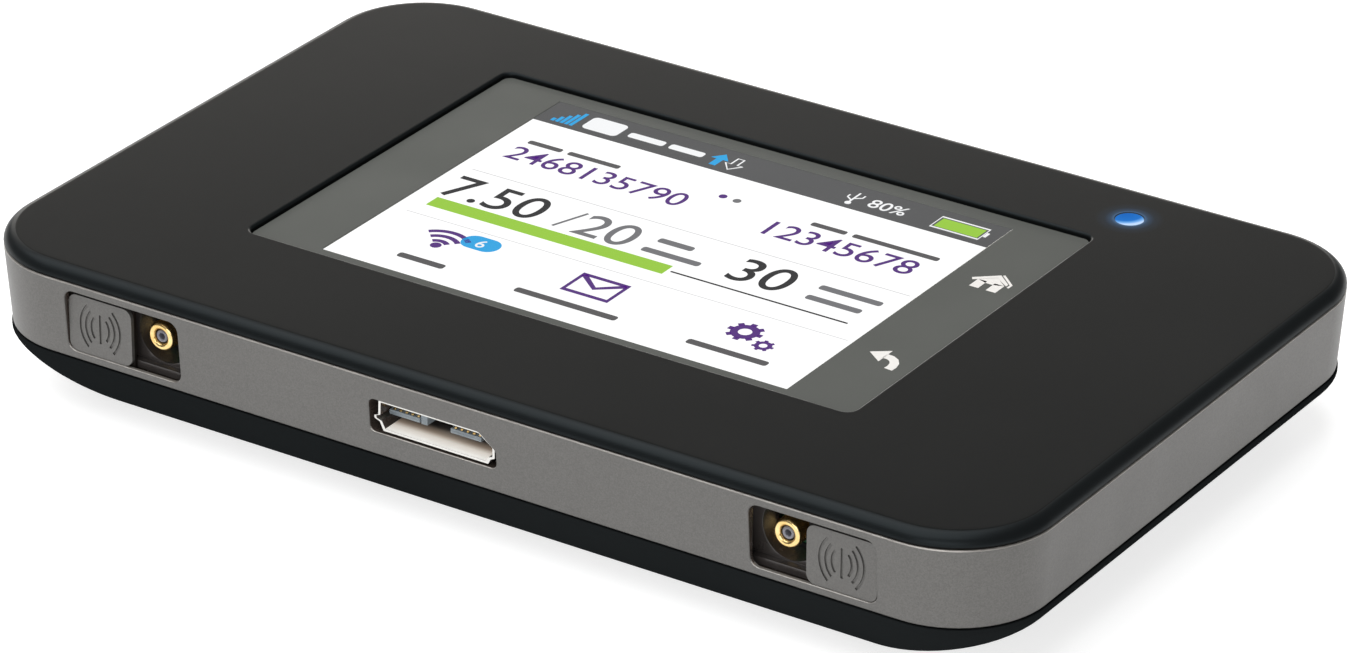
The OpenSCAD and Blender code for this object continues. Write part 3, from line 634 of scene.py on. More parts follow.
def build_ledge():
    """The frame under the glass, which carries it inside the window."""
    ledge = prism("glass_ledge", grown(glass_low, glass_high, LEDGE_W, 3 * MM), glass_low.z - 0.95 * MM,
                  top_high.z - EDGE_H - 0.01 * MM)
    pocket = prism("ledge_pocket", window_outline(WINDOW_PLAY), glass_low.z - 0.15 * MM, top_high.z)
    panel_low, panel_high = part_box("lcd_frame")
    hole = prism("ledge_hole", rectangle(panel_low.x - 0.4 * MM, panel_low.y - 0.2 * MM,
                                         panel_high.x + 0.4 * MM, panel_high.y + 0.2 * MM), 0, 2 * top_high.z)
    cut(ledge, pocket, hole)
    soften(ledge, 0.05 * MM)
    place(ledge, SOFT, "case", "soft_cover")


def window_rim_cutter():
    """Cutter that rolls the cover's edge down into the display window."""
    roll = 0.30 * MM
    rings = []
    for k in range(9):
        angle = math.pi / 2 * k / 8
        play = WINDOW_PLAY + roll * (1 - math.cos(angle))
        z = top_high.z - roll + roll * math.sin(angle)
        rings.append(level(window_outline(play), z))
    rings.append(level(rings[-1], top_high.z + MM))
    rings.insert(0, level(rings[0], top_high.z - roll - 0.1 * MM))
    return loft("rim_cutter", rings)


def port_cutters():
    cutters = []
    for side in (-1, 1):
        x0, x1 = sorted((side * PORT_X[0], side * PORT_X[1]))
        cutters.append(front_prism("port_cutter", rounded_rectangle(x0, PORT_Z[0], x1, PORT_Z[1], PORT_R),
                                   -HALF_D - MM, -HALF_D + 2 * MM))
        x0, x1 = sorted((side * (PORT_X[0] - 1.0 * MM), side * (PORT_X[1] + 0.95 * MM)))
        cutters.append(block("pocket_cutter", (x0, -HALF_D + 1.0 * MM, POCKET_Z[0]),
                             (x1, -HALF_D + 5 * MM, POCKET_Z[1])))
    return cutters


def usb_opening_outline():
    left = shell_low.x - 0.32 * MM
    right = shell_high.x + 0.30 * MM
    low = shell_low.z - 0.20 * MM
    high = shell_high.z + 0.10 * MM
    corners = [(left, low), (right, low), (right, 10.45 * MM), (right - 1.75 * MM, high), (left, high)]
    return rounded_polygon(corners, [0.6 * MM, 0.6 * MM, 0.6 * MM, 0.7 * MM, 0.6 * MM])


def depth_inside(point):
    """How far a point lies inside the band's outer face."""
    lean = BAND_DRAFT * (band_high.z - point.z) / (band_high.z - band_low.z)
    x = abs(point.x) - (HALF_W - CORNER_R)
    y = abs(point.y) - (HALF_D - CORNER_R)
    if x > 0 and y > 0:
        return CORNER_R - lean - math.hypot(x, y)
    return CORNER_R - lean - max(x, y)


def build_side_band():
    edge = 0.2 * MM
    outer = [case_ring(BAND_DRAFT, band_low.z)]
    for k in range(6):
        angle = math.pi / 2 * k / 5
        z = band_high.z - edge * (1 - math.sin(angle))
        inset = BAND_DRAFT * (band_high.z - z) / (band_high.z - band_low.z) + edge * (1 - math.cos(angle))
        outer.append(case_ring(inset, z))
    hollow = case_outline(HOLLOW_HALF_W, HOLLOW_HALF_D, HOLLOW_R)
    inner = [level(hollow, z) for z in (band_high.z, band_low.z)]
    band = loft("side_band_shell", outer + inner, tube=True)
    middle = (key_low + key_high) / 2
    slot = centred(middle.x, middle.z, KEY_HALF[0] + KEY_PLAY, KEY_HALF[1] + KEY_PLAY, 1.5 * MM, 8)
    key_slot = front_prism("key_cutter", slot, HALF_D - 4 * MM, HALF_D + MM)
    usb_slot = front_prism("usb_cutter", usb_opening_outline(), -HALF_D - MM, -HALF_D + 4 * MM)
    cut(band, *port_cutters(), usb_slot, key_slot)
    soften(band, 0.13 * MM, 3)
    place(band, BAND, "case", "band_paint", "side_band")
    band.data.materials.append(RECESS)
    band.data.materials.append(BAND_EDGE_HIGHLIGHT)
    for face in band.data.polygons:
        if depth_inside(face.center) > SKIN:
            face.material_index = 1
        # painted highlight: up-facing bevels, picked by their normal, take the lighter copy of the paint
        elif face.normal.z > 0.3:
            face.material_index = 2


def bowl_ring(thick, z_floor, z_rim, turn):
    """Ring of the battery cover's bowl at a turn from 0, at the rim, to 1, on the base."""
    angle = turn * math.pi / 2
    drop = math.sin(angle) ** (2 / SIDE_POWER)
    lean = 1 - math.cos(angle) ** (2 / SIDE_POWER)
    inset = BAND_DRAFT - 0.1 * MM + thick
    radius = (CORNER_R - inset) * (1 - lean) + (BASE_CORNER_R - thick) * lean
    outline = case_outline(HALF_W - inset - BASE_INSET_X * lean, HALF_D - inset - BASE_INSET_Y * lean, radius)
    return level(outline, z_floor + (z_rim - z_floor) * (1 - drop))


def build_battery_cover():
    rim = band_low.z - 0.12 * MM
    lip = rim - 0.40 * MM
    spans = 28
    rings = [bowl_ring(0, 0, lip, 1 - k / spans) for k in range(spans + 1)]
    rings.append(level(rings[-1], rim))
    inner = [bowl_ring(SHELL_WALL, SHELL_WALL, lip, k / spans) for k in range(spans + 1)]
    rings.append(level(inner[0], rim))
    cover = loft("battery_cover_shell", rings + inner)
    tabs = []
    for x, side in [(x, -1) for x in (-22, 22)] + [(x, 1) for x in (-38, -22, 22, 38)]:
        tabs.append((x * MM, side * (HOLLOW_HALF_D - 0.65 * MM), 3 * MM, 0.45 * MM))
    for y in (-14, 14):
        for side in (-1, 1):
            tabs.append((side * (HOLLOW_HALF_W - 0.65 * MM), y * MM, 0.45 * MM, 3 * MM))
    for x, y, half_x, half_y in tabs:
        tab = block("tab", (x - half_x, y - half_y, TAB_Z[0]), (x + half_x, y + half_y, TAB_Z[1]))
        cut(cover, tab, mode="UNION")
    notch_x = -HALF_W + 22 * MM
    turned = circle(HALF_D, rim + 0.6 * MM, 1.3 * MM, 32)
    notch = loft("notch_cutter", [[(x, p[0], p[1]) for p in turned]
                                  for x in (notch_x - 4.5 * MM, notch_x + 4.5 * MM)])
    cut(cover, notch)
    soften(cover, 0.10 * MM, 2)
    place(cover, SHELL, "cover", "soft_cover", "battery_cover")


# ---- display
DISPLAY_X = (-26.60 * MM, 23.56 * MM)
DISPLAY_Y = (-17.45 * MM, 21.10 * MM)
DISPLAY_DEPTH = 0.10 * MM
SCREEN_BASE = 0.35
PRINT_T = 0.012 * MM


def build_glass():
    glass = prism("cover_glass", window_outline(0), glass_low.z, glass_high.z)
    window = prism("display_cutter", rectangle(DISPLAY_X[0], DISPLAY_Y[0], DISPLAY_X[1], DISPLAY_Y[1]),
                   glass_high.z - DISPLAY_DEPTH, glass_high.z + MM)
    cut(glass, window)
    soften(glass, 0.08 * MM, 3)
    place(glass, BORDER, "case", "cover_glass", "touch_glass")


def screen(x, y):
    """Point on the display, in millimetres from its left side and from the base of what it shows."""
    return Vector((DISPLAY_X[0] + x * MM, DISPLAY_Y[0] + (SCREEN_BASE + y) * MM))


def bar(x0, y0, x1, y1, radius=0.0):
    low, high = screen(x0, y0), screen(x1, y1)
    if radius <= 0:
        return [Vector(p) for p in rectangle(low.x, low.y, high.x, high.y)]
    return rounded_rectangle(low.x, low.y, high.x, high.y, radius * MM, 6)


def shape(points):
    return [screen(x, y) for x, y in points]


def ribbon(points, width, closed=False):
    """Band of even width along a line, as quads."""
    count = len(points)
    sides = []
    for i, point in enumerate(points):
        here = Vector(point)
        before = Vector(points[i - 1]) if i > 0 or closed else None
        after = Vector(points[(i + 1) % count]) if i < count - 1 or closed else None
        run = ((after or here) - (before or here)).normalized()
        across = Vector((-run.y, run.x)) * width / 2
        sides.append((here - across, here + across))
    quads = []
    for i in range(count if closed else count - 1):
        low, high = sides[i], sides[(i + 1) % count]
        quads.append([low[0], high[0], high[1], low[1]])
    return quads


def arc(x, y, radius, start, end, steps=14):
    angles = [math.radians(start + (end - start) * k / steps) for k in range(steps + 1)]
    return [(x + radius * math.cos(angle), y + radius * math.sin(angle)) for angle in angles]


def on_screen(quads):
    return [shape(quad) for quad in quads]


def gear(x, y, outer, teeth):
    """Gear as a ring of quads, with its teeth standing out of it."""
    quads = on_screen(ribbon(arc(x, y, 0.58 * outer, 0, 360, 32)[:-1], 0.42 * outer, closed=True))
    for k in range(teeth):
        angle = 2 * math.pi * k / teeth
        out = Vector((math.cos(angle), math.sin(angle)))
        side = Vector((-out.y, out.x)) * 0.17 * outer
        root, tip = out * 0.74 * outer, out * outer
        corners = (root - side, tip - side, tip + side, root + side)
        quads.append(shape([Vector((x, y)) + corner for corner in corners]))
    return quads


def digits(name, text, height, left, base, z):
    """Plain numerals, given the height of a digit and the left end of their base line."""
    curve = bpy.data.curves.new(name, "FONT")
    curve.body = text
    curve.size = height / 0.73
    curve.extrude = PRINT_T / 2
    curve.offset = 0.004 * curve.size
    piece = link(name, curve)
    mesh = evaluated_mesh(piece)
    remove(piece)
    start = screen(left, base)
    mesh.transform(Matrix.Translation((start.x, start.y, z + PRINT_T / 2)))
    return link(name, mesh)


def print_layer(name, outlines, texts, material, z):
    """All that one ink prints: closed slips of the print's own thickness."""
    name = "screen_" + name
    slips = [prism(name + "_slip", outline, z, z + PRINT_T) for outline in outlines]
    slips += [digits(name + "_text", text, height * MM, left, base, z) for text, height, left, base in texts]
    place(join(name, slips), material, "case", "display")


def build_display():
    z = glass_high.z - DISPLAY_DEPTH + 0.01 * MM
    width = (DISPLAY_X[1] - DISPLAY_X[0]) / MM
    height = (DISPLAY_Y[1] - DISPLAY_Y[0]) / MM - SCREEN_BASE
    status_low = height - 4.6
    white = lit("white", (1.0, 1.0, 1.0), 1.05)
    bright = lit("bright", (0.95, 0.96, 0.97), 0.95)
    slate = lit("slate", (0.080, 0.081, 0.083), glow=0.12)
    black = lit("black", (0.012, 0.012, 0.014))
    grey = lit("grey", (0.16, 0.16, 0.17))
    dusk = lit("dusk", (0.085, 0.082, 0.085))
    pale = lit("pale", (0.62, 0.62, 0.63))
    purple = lit("purple", (0.075, 0.012, 0.19))
    green = lit("green", (0.30, 0.58, 0.035))
    cyan = lit("cyan", (0.01, 0.36, 0.75))

    margin = 0.02
    right, top = width - margin, height - margin
    print_layer("ground", [bar(margin, margin - SCREEN_BASE, right, top)], [], white, z)
    z += 1.5 * PRINT_T
    print_layer("status_bar", [bar(margin, status_low, right, top)], [], slate, z)
    pale_shapes = [bar(1.6, 21.2, width - 0.6, 21.32), bar(1.6, 10.6, width - 0.6, 10.7)]
    print_layer("rules", pale_shapes, [], pale, z)
    z += 1.5 * PRINT_T

    signal = [bar(1.5 + 0.52 * k, 34.3, 1.88 + 0.52 * k, 34.9 + 0.6 * k) for k in range(5)]
    up_arrow = [shape([(19.3, 34.5), (20.0, 34.5), (20.0, 35.9), (20.6, 35.9), (19.65, 37.1),
                       (18.7, 35.9), (19.3, 35.9)])]
    badge = [bar(9.4, 7.3, 13.4, 9.9, 1.25)]
    print_layer("cyan_marks", signal + up_arrow + badge, [], cyan, z)

    down_arrow = on_screen(ribbon([(21.1, 36.9), (21.8, 36.9), (21.8, 35.6), (22.4, 35.6), (21.45, 34.4),
                                   (20.5, 35.6), (21.1, 35.6)], 0.16, closed=True))
    operator = [bar(9.6, 35.2, 13.6, 36.2, 0.3), bar(14.2, 35.2, 18.0, 36.2, 0.3)]
    battery_rim = on_screen(ribbon(rectangle(43.5, 34.6, 48.6, 36.9), 0.22, closed=True))
    battery_rim.append(bar(48.7, 35.3, 49.0, 36.2))
    plug = on_screen(ribbon([(34.6, 34.5), (34.6, 36.9)], 0.18)) + [circle_on_screen(34.6, 34.6, 0.32)]
    plug += on_screen(ribbon([(33.9, 36.2), (33.9, 35.7), (34.6, 35.2)], 0.16))
    plug += on_screen(ribbon([(35.3, 36.6), (35.3, 36.1), (34.6, 35.6)], 0.16))
    white_marks = down_arrow + operator + [bar(4.8, 34.5, 8.7, 37.2, 0.55)] + battery_rim + plug
    print_layer("white_marks", white_marks, [("80%", 1.75, 36.3, 34.9), ("6", 1.5, 10.95, 7.85)],
                bright, z + 1.5 * PRINT_T)

    arcs = []
    for radius in (1.15, 2.15, 3.15):
        arcs += on_screen(ribbon(arc(8.1, 5.9, radius, 45, 135), 0.55))
    wifi = arcs + [circle_on_screen(8.1, 6.1, 0.55)]
    envelope = on_screen(ribbon(rectangle(22.7, 5.2, 27.5, 8.7), 0.62, closed=True))
    envelope += on_screen(ribbon([(22.8, 8.6), (25.1, 6.7), (27.4, 8.6)], 0.58))
    gears = gear(41.1, 7.0, 1.75, 8) + gear(43.9, 5.6, 1.05, 7)
    print_layer("purple_marks", wifi + envelope + gears + [circle_on_screen(24.3, 29.3, 0.42)],
                [("2468135790", 2.9, 2.2, 25.1), ("12345678", 3.05, 30.5, 24.7)], purple, z)

    progress = [bar(2.4, 12.6, 28.5, 14.5)]
    charge = [bar(43.75, 34.85, 48.35, 36.65)]
    print_layer("green_marks", progress + charge, [], green, z)

    slash = on_screen(ribbon([(14.6, 15.4), (16.0, 19.3)], 0.30))
    units = [bar(24.4, 17.9, 28.2, 18.8, 0.3), bar(24.1, 15.6, 30.4, 16.5, 0.3),
             bar(41.8, 17.9, 48.4, 18.8, 0.3), bar(41.8, 15.6, 47.6, 16.5, 0.3)]
    print_layer("grey_marks", slash + units + [circle_on_screen(25.9, 29.2, 0.42)],
                [("20", 4.6, 16.4, 15.2)], grey, z)

    labels = [bar(2.6, 28.75, 6.4, 29.5, 0.25), bar(7.1, 28.75, 12.9, 29.5, 0.25),
              bar(34.2, 28.6, 38.0, 29.35, 0.25), bar(38.7, 28.6, 47.9, 29.35, 0.25)]
    labels += [bar(left, 2.3, right, 3.2, 0.3) for left, right in ((6.3, 11.4), (19.2, 30.2), (37.7, 46.2))]
    print_layer("label_bars", labels, [], dusk, z)
    print_layer("black_marks", [bar(28.9, 13.35, 47.8, 13.6)],
                [("7.50", 4.7, 1.5, 15.2), ("30", 4.8, 33.0, 15.2)], black, z)


def circle_on_screen(x, y, radius):
    return shape([(p.x, p.y) for p in circle(x, y, radius, 24)])


def build_icons():
    """Home and back signs printed on the glass, right of the display."""
    z = glass_high.z + 0.002 * MM
    home_x, home_y = 27.65 * MM, 10.45 * MM
    back_x, back_y = 27.55 * MM, -7.75 * MM

    def at(x, y, points):
        return [Vector((x + px * MM, y + py * MM)) for px, py in points]

    roof = at(home_x, home_y, [(-2.0, 0.0), (0.05, 1.75), (1.55, 0.45), (1.55, 0.05), (0.05, 1.1),
                               (-1.75, -0.35)])
    eave = at(home_x, home_y, [(0.35, 1.95), (1.95, 0.55), (1.95, -0.15), (1.72, -0.15), (1.72, 0.42),
                               (0.2, 1.78)])
    walls = [at(home_x, home_y, rectangle(-1.35, -1.6, -0.4, 0.0)),
             at(home_x, home_y, rectangle(0.4, -1.6, 1.4, 0.0)),
             at(home_x, home_y, [(-1.35, 0.0), (-0.4, -0.35), (0.4, -0.35), (1.4, 0.0), (0.03, 1.15)])]
    head = at(back_x, back_y, [(-1.75, 0.45), (-0.1, 1.65), (-0.1, -0.75)])
    tail = [at(back_x, back_y, quad) for quad in ribbon(
        [(-0.15, 0.45), (0.45, 0.42), (0.95, 0.15), (1.3, -0.35), (1.45, -1.0), (1.4, -1.6)], 0.85)]
    slips = [prism("icon_slip", outline, z, z + PRINT_T) for outline in [roof, eave, head] + walls + tail]
    place(join("glass_icons", slips), ICON, "case", "cover_glass")


# ---- status light
def build_lens():
    top = lens_high.z + 0.04 * MM
    rise = 0.06 * MM
    rings = [level(circle(LENS_MIDDLE.x, LENS_MIDDLE.y, LENS_R), z) for z in (lens_low.z, top - rise)]
    spans = 8
    for k in range(1, spans):
        angle = math.pi / 2 * k / spans
        radius = LENS_R * math.cos(angle) ** DOME_POWER
        rings.append(level(circle(LENS_MIDDLE.x, LENS_MIDDLE.y, radius), top - rise * (1 - math.sin(angle))))
    lens = tidy_normals(loft("status_lens", rings))
    place(lens, LENS, "case", "lens", "led_lens")


# ---- ports
def build_doors():
    slab_back = door_low.y + 0.40 * MM
    x1 = door_high.x - 0.75 * MM
    x0 = door_low.x
    z0, z1 = DOOR_Z
    slab = front_prism("door", rounded_rectangle(x0, z0, x1, z1, 0.9 * MM), door_low.y, slab_back)
    flange = block("right_door_flange", (door_low.x, slab_back, door_low.z), door_high)
    middle = Vector(((x0 + x1) / 2, (z0 + z1) / 2)) / MM
    lines = [ribbon([(middle.x, middle.y - 1.45), (middle.x, middle.y + 1.45)], GROOVE_MM)]
    for side in (-1, 1):
        for radius, half in ((1.75, 36), (2.38, 41), (3.0, 44)):
            start = 0 if side > 0 else 180
            wave = arc(middle.x - side * 0.75, middle.y, radius, start - half, start + half, 12)
            lines.append(ribbon(wave, GROOVE_MM))
    for line in lines:
        edge = [quad[0] for quad in line] + [line[-1][1]] + [quad[3] for quad in reversed([*line])]
        edge.insert(len(line) + 1, line[-1][2])
        outline = [Vector(p) * MM for p in edge]
        cut(slab, front_prism("groove", outline, door_low.y - 0.1 * MM, door_low.y + GROOVE_DEPTH))
    soften(slab, 0.08 * MM, 3)
    soften(flange, 0.05 * MM, 2)
    slab.name = "right_door"
    place(mirrored("left_door", slab), BAND, "left_door", "band_paint", "left_port_door")
    place(mirrored("left_door_flange", flange), FLANGE, "left_door", "port_resin")
    place(slab, BAND, "right_door", "band_paint", "right_port_door")
    place(flange, FLANGE, "right_door", "port_resin")


def jack_profile(root, front, steps):
    """Wall that runs from the root to the front and back, through (radius, setback) steps in millimetres."""
    points = [(radius * MM, front + setback * MM) for radius, setback in steps]
    return [(points[0][0], root)] + points + [(points[-1][0], root)]


def build_jacks():
    tip = barrel_low.y
    root = barrel_high.y - 4.0 * MM
    lip_r = (BARREL_R + BARREL_BORE_R) / 2
    lip = (BARREL_R - BARREL_BORE_R) / 2
    profile = [(BARREL_R, root + 0.05 * MM)]
    for k in range(17):
        angle = math.pi * k / 16
        profile.append((lip_r + lip * math.cos(angle), tip + lip * (1 - math.sin(angle))))
    profile.append((BARREL_BORE_R, root + 0.05 * MM))
    barrel = lathe_y("barrel", JACK_X, JACK_Z, profile)
    foot = block("foot", (barrel_low.x, root, barrel_low.z), (barrel_high.x, barrel_high.y, barrel_high.z))
    insulator_front = tip + 0.22 * MM
    insulator = lathe_y("insulator", JACK_X, JACK_Z, jack_profile(
        root, insulator_front, ((0.60, 0.08), (0.52, 0.0), (0.40, 0.0), (0.31, 0.08))))
    contact = lathe_y("contact", JACK_X, JACK_Z, jack_profile(
        root, insulator_front, ((0.30, 0.94), (0.27, 0.90), (0.22, 0.90), (0.19, 0.96))), 32)
    barrel = tidy_normals(join("right_barrel", [barrel, soften(foot, 0.08 * MM)]))
    insulator.name = "right_insulator"
    contact.name = "right_contact"
    for piece, material, slot, node in ((barrel, GOLD, "gold_plate", "jack_barrel"),
                                        (tidy_normals(insulator), INSULATOR, "insulator", "jack_insulator"),
                                        (tidy_normals(contact), GOLD, "gold_plate", "jack_contact")):
        other = mirrored(piece.name.replace("right", "left"), piece)
        place(piece, material, "case", slot, "right_" + node)
        place(other, material, "case", slot, "left_" + node)


def build_usb():
    x0, x1, z0, z1 = shell_low.x, shell_high.x, shell_low.z, shell_high.z
    corners = [(x0 + 1.0 * MM, z0), (x1 - 0.7 * MM, z0), (x1 - 0.45 * MM, z0 + 0.5 * MM),
               (x1, z0 + 0.7 * MM), (x1, z0 + 1.75 * MM), (x1 - 1.5 * MM, z1), (x0 + 0.5 * MM, z1),
               (x0 + 0.45 * MM, z0 + 1.5 * MM), (x0, z0 + 1.35 * MM), (x0, z0 + 1.05 * MM),
               (x0 + 0.6 * MM, z0 + 0.85 * MM)]
    outer = rounded_polygon(corners, 0.14 * MM, 4)
    middle = Vector(((x0 + x1) / 2, (z0 + z1) / 2))
    share = (1 - 0.5 * MM / (x1 - x0), 1 - 0.5 * MM / (z1 - z0))
    inner = []
    for p in outer:
        inner.append(Vector((middle.x + (p.x - middle.x) * share[0], middle.y + (p.y - middle.y) * share[1])))
    shell = front_prism("usb_shell_fine", outer, shell_low.y, shell_high.y)
    cut(shell, front_prism("usb_hollow", inner, shell_low.y - MM, shell_high.y - 0.4 * MM))
    soften(shell, 0.06 * MM, 2, math.radians(50))
    place(shell, STEEL, "case", "steel", "usb_shell")
    shell.data.materials.append(PORT_FLOOR_LIT)
    shell.data.materials.append(RECESS)
    for face in shell.data.polygons:
        spot = face.center
        depth = spot.y - shell_low.y
        # painted light: the shell's inner floor faces take the lit floor material
        if face.normal.z > 0.9 and spot.z < z0 + 0.6 * MM and depth > 0.05 * MM:
            face.material_index = 1
        # painted shade: the steel shell's inner side wall takes the dark port resin
        elif face.normal.x > 0.3 and x0 + 0.02 * MM < spot.x < x0 + 1.2 * MM and depth > 0.1 * MM:
            face.material_index = 2

    front = tongue_low.y
    back = shell_high.y - 1.5 * MM
    groups = (x0 + 0.8 * MM, x0 + 7.4 * MM)
    parts = [block("back", (tongue_low.x, shell_high.y - 1.6 * MM, 9.4 * MM),
                   (tongue_high.x, tongue_high.y, 11.2 * MM))]
    for left in groups:
        right = left + 3.3 * MM
        parts.append(block("lip_strip", (left, front - 0.02 * MM, 10.08 * MM),
                           (right, front + 0.1 * MM, 10.32 * MM)))
        parts.append(block("tongue", (left, front, TONGUE_Z[0]), (right, back, TONGUE_Z[1])))
    parts.append(block("rib", (x0 + 4.15 * MM, front + 0.1 * MM, 9.9 * MM),
                       (x0 + 4.85 * MM, back, 11.0 * MM)))
    tongue = join("usb_tongue_fine", [soften(part, 0.06 * MM) for part in parts])
    place(tongue, BLUE_RESIN, "case", "dark_resin", "usb_tongue")

    pins = []
    pin_base = TONGUE_Z[1] + 0.005 * MM
    outline = [(front + 0.08 * MM, pin_base), (front + 0.25 * MM, PIN_TOP), (pins_back, PIN_TOP),
               (pins_back, pin_base)]
    for left in groups:
        for k in range(5):
            x = left + (0.33 + 0.65 * k) * MM
            pins.append(loft("pin", [[(px, p[0], p[1]) for p in outline] for px in (x, x + 0.25 * MM)]))
    contacts = join("usb_contacts_fine", [soften(pin, 0.03 * MM, 1) for pin in pins])
    place(contacts, GOLD, "case", "gold_plate", "usb_contacts")


# ---- keys
def build_power_key():
    middle = (key_low + key_high) / 2
    back = key_high.y - 1.9 * MM
    rings = []
    outlines = ((0.0, back), (0.0, key_high.y - 0.25 * MM), (0.07 * MM, key_high.y - 0.09 * MM),
                (0.22 * MM, key_high.y - 0.01 * MM), (0.5 * MM, key_high.y))
    for inset, y in outlines:
        ring = centred(middle.x, middle.z, KEY_HALF[0] - inset, KEY_HALF[1] - inset,
                       max(1.35 * MM - inset, 0.3 * MM), 12)
        rings.append([(p.x, y, p.y) for p in ring])
    cap = loft("key_cap", rings)
    flange = block("key_flange", (key_low.x, back - 0.6 * MM, key_low.z),
                   (key_high.x, back + 0.02 * MM, key_high.z))
    nub = block("key_nub", (middle.x - MM, key_low.y, middle.z - 0.7 * MM),
                (middle.x + MM, back - 0.5 * MM, middle.z + 0.7 * MM))
    cut(cap, flange, nub, mode="UNION")
    sign = ribbon(arc(middle.x / MM, middle.z / MM, 0.62, -235, 55, 20), 0.16)
    sign.append([(middle.x / MM + dx, middle.z / MM + dz) for dx, dz in rectangle(-0.08, 0.1, 0.08, 0.85)])
    y0, y1 = key_high.y - 0.004 * MM, key_high.y + 0.004 * MM
    marks = [front_prism("sign", [Vector(p) * MM for p in quad], y0, y1) for quad in sign]
    soften(cap, 0.05 * MM)
    place(cap, KEY, "power_key", "key_resin", "power_button")
    place(join("key_sign", marks), ICON, "power_key", "key_resin")


# ---- inner parts, rounded and finished from the frame
INNER = [
    (ADHESIVE, 0.02, "glass_adhesive"), (GUIDE, 0.05, "lcd_panel light_guide"), (CAN, 0.05, "lcd_frame"),
    (FILM, 0.01, "display_flex touch_flex"), (IVORY, 0.08, "flex_connectors"), (IVORY, 0.06, "status_led"),
    (RESIN, 0.12, "chassis"), (WELL, 0.22, "left_port_well right_port_well"), (BOARD, 0.05, "main_board"),
    (CAN, 0.08, "modem_shield radio_shield power_shield"),
    (CHIP, 0.06, "modem_chip memory_chip wifi_chip power_chip"), (CERAMIC, 0.08, "board_components"),
    (RESIN, 0.10, "battery_connector"), (GOLD, 0.04, "battery_springs"), (GOLD, 0.02, "battery_terminals"),
    (CAN, 0.08, "sim_holder"), (GOLD, 0.02, "sim_contacts"), (CARD, 0.06, "sim_card"),
    (COPPER, 0.03, "main_antenna diversity_antenna wifi_antenna_left wifi_antenna_right"),
    (GOLD, 0.03, "antenna_springs"), (IVORY, 0.08, "power_switch"), (RESET, 0.12, "reset_button"),
    (RESIN, 0.08, "reset_switch"), (SCREW, 0.08, "case_screws"), (WRAP, 0.45, "battery"),
]


def build_inner_parts():
    slots = {row["node"]: row["material_slot"] for row in frame["record"]["subparts"]}
    bodies = {node: body for body, nodes in frame["record"]["behaviour"]["bodies"].items() for node in nodes}
    for material, width, nodes in INNER:
        for node in nodes.split():
            place(refined(node, width * MM), material, bodies[node], slots[node], node)


def build_battery_label():
    """Plain printed panel on the battery's underside, with ruled lines in place of words."""
    low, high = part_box("battery")
    z = low.z - 0.01 * MM
    panel = prism("label_panel", grown(low, high, -6 * MM, 1.5 * MM), z, low.z + 0.02 * MM)
    place(panel, LABEL, "battery_pack", "battery_wrap")
    lines = []
    for k in range(6):
        y = high.y - (12 + 4.2 * k) * MM
        line = rectangle(low.x + 11 * MM, y, high.x - (14 + 5 * (k % 3)) * MM, y + 0.9 * MM)
        lines.append(prism("label_line", line, z - 0.01 * MM, z + 0.005 * MM))
    place(join("label_lines", lines), WRAP, "battery_pack", "battery_wrap")


# ---- stage, lights and camera
CAMERA_AZIMUTH = math.radians(33.23)
CAMERA_ELEVATION = math.radians(26.72)
CAMERA_ROLL = math.radians(0.234)
CAMERA_DISTANCE = 0.61227
CAMERA_TARGET = Vector((1.108 * MM, -1.040 * MM, 8.0 * MM))
CAMERA_LENS = 178.69


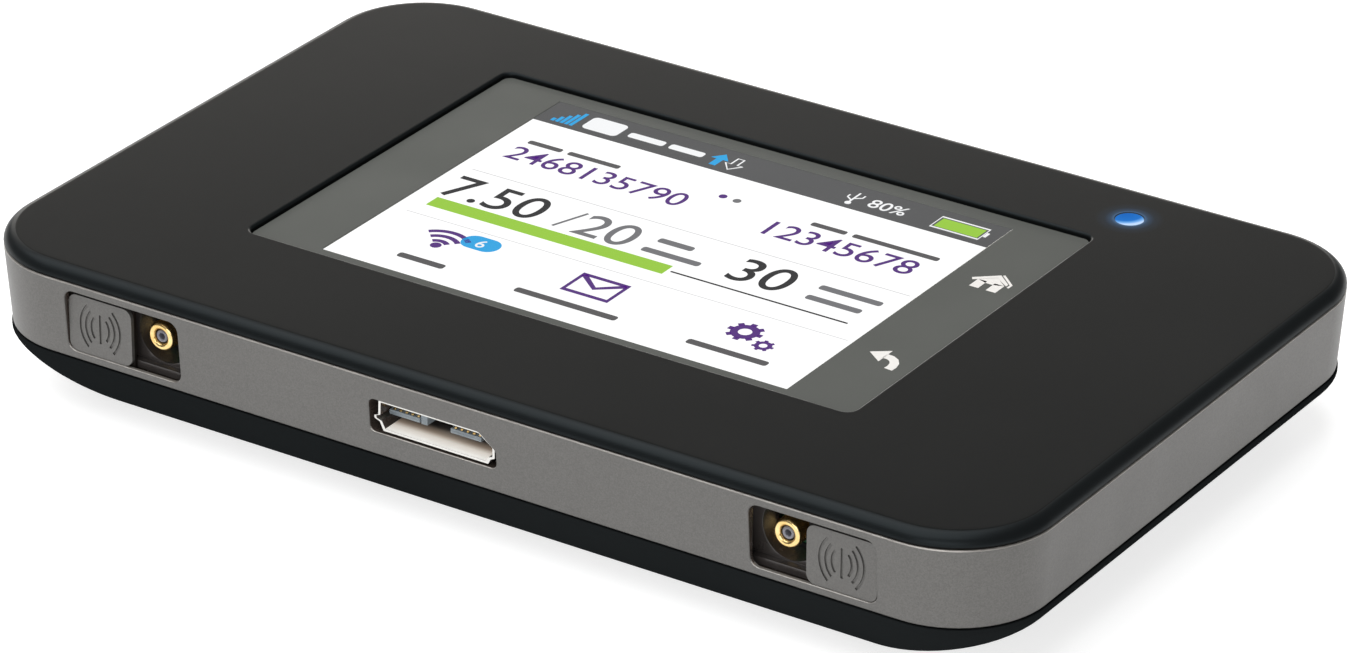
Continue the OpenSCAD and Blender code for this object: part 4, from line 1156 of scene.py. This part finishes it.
def build_camera():
    camera = bpy.data.cameras.new("camera")
    camera.lens = CAMERA_LENS
    camera.sensor_width = 36.0
    camera.clip_start = 0.01
    piece = link("camera", camera)
    back = Vector((math.sin(CAMERA_AZIMUTH) * math.cos(CAMERA_ELEVATION),
                   -math.cos(CAMERA_AZIMUTH) * math.cos(CAMERA_ELEVATION), math.sin(CAMERA_ELEVATION)))
    right = (-back).cross(Vector((0, 0, 1))).normalized()
    up = right.cross(-back)
    turned_right = right * math.cos(CAMERA_ROLL) + up * math.sin(CAMERA_ROLL)
    turned_up = up * math.cos(CAMERA_ROLL) - right * math.sin(CAMERA_ROLL)
    turn = Matrix((turned_right, turned_up, back)).transposed().to_4x4()
    piece.matrix_world = Matrix.Translation(CAMERA_TARGET + back * CAMERA_DISTANCE) @ turn
    bpy.context.scene.camera = piece


def area_light(name, place_at, aim, size, power, colour=(1, 1, 1)):
    light = bpy.data.lights.new(name, "AREA")
    light.shape = "RECTANGLE"
    light.size, light.size_y = size
    light.energy = power
    light.color = colour
    piece = link(name, light)
    piece.location = place_at
    piece.rotation_euler = (Vector(aim) - Vector(place_at)).to_track_quat("-Z", "Y").to_euler()
    return piece


def build_stage():
    floor = mesh_piece("floor", [(-3, -3, -0.0001), (3, -3, -0.0001), (3, 3, -0.0001), (-3, 3, -0.0001)],
                       [(0, 1, 2, 3)])
    material = varied("floor_paper", (0.54, 0.54, 0.54), (0.56, 0.56, 0.56), (0.7, 0.8), 600.0,
                      0.01, 4.0, Emission_Color=rgb(1.0, 1.0, 1.0), Emission_Strength=0.75,
                      Specular_IOR_Level=0.1)
    floor.data.materials.append(material)
    world = bpy.data.worlds.new("studio")
    world.use_nodes = True
    background = world.node_tree.nodes["Background"]
    background.inputs["Color"].default_value = rgb(1.0, 1.0, 1.0)
    background.inputs["Strength"].default_value = 0.16
    bpy.context.scene.world = world
    area_light("overhead", (-0.25, -0.15, 1.0), (0, 0, 0), (1.6, 1.2), 15.5)
    area_light("front_fill", (0.30, -0.80, 0.30), (0, 0, 0.01), (0.7, 0.35), 2.2)
    area_light("back_sheen", (-0.22, 0.30, 0.09), (0, 0.03, 0.012), (0.35, 0.08), 0.42, (1.0, 0.96, 0.90))
    bpy.context.scene.view_settings.view_transform = "Standard"


build_camera()
build_stage()
build_top_cover()
build_ledge()
build_side_band()
build_battery_cover()
build_glass()
build_display()
build_icons()
build_lens()
build_doors()
build_jacks()
build_usb()
build_power_key()
build_inner_parts()
build_battery_label()
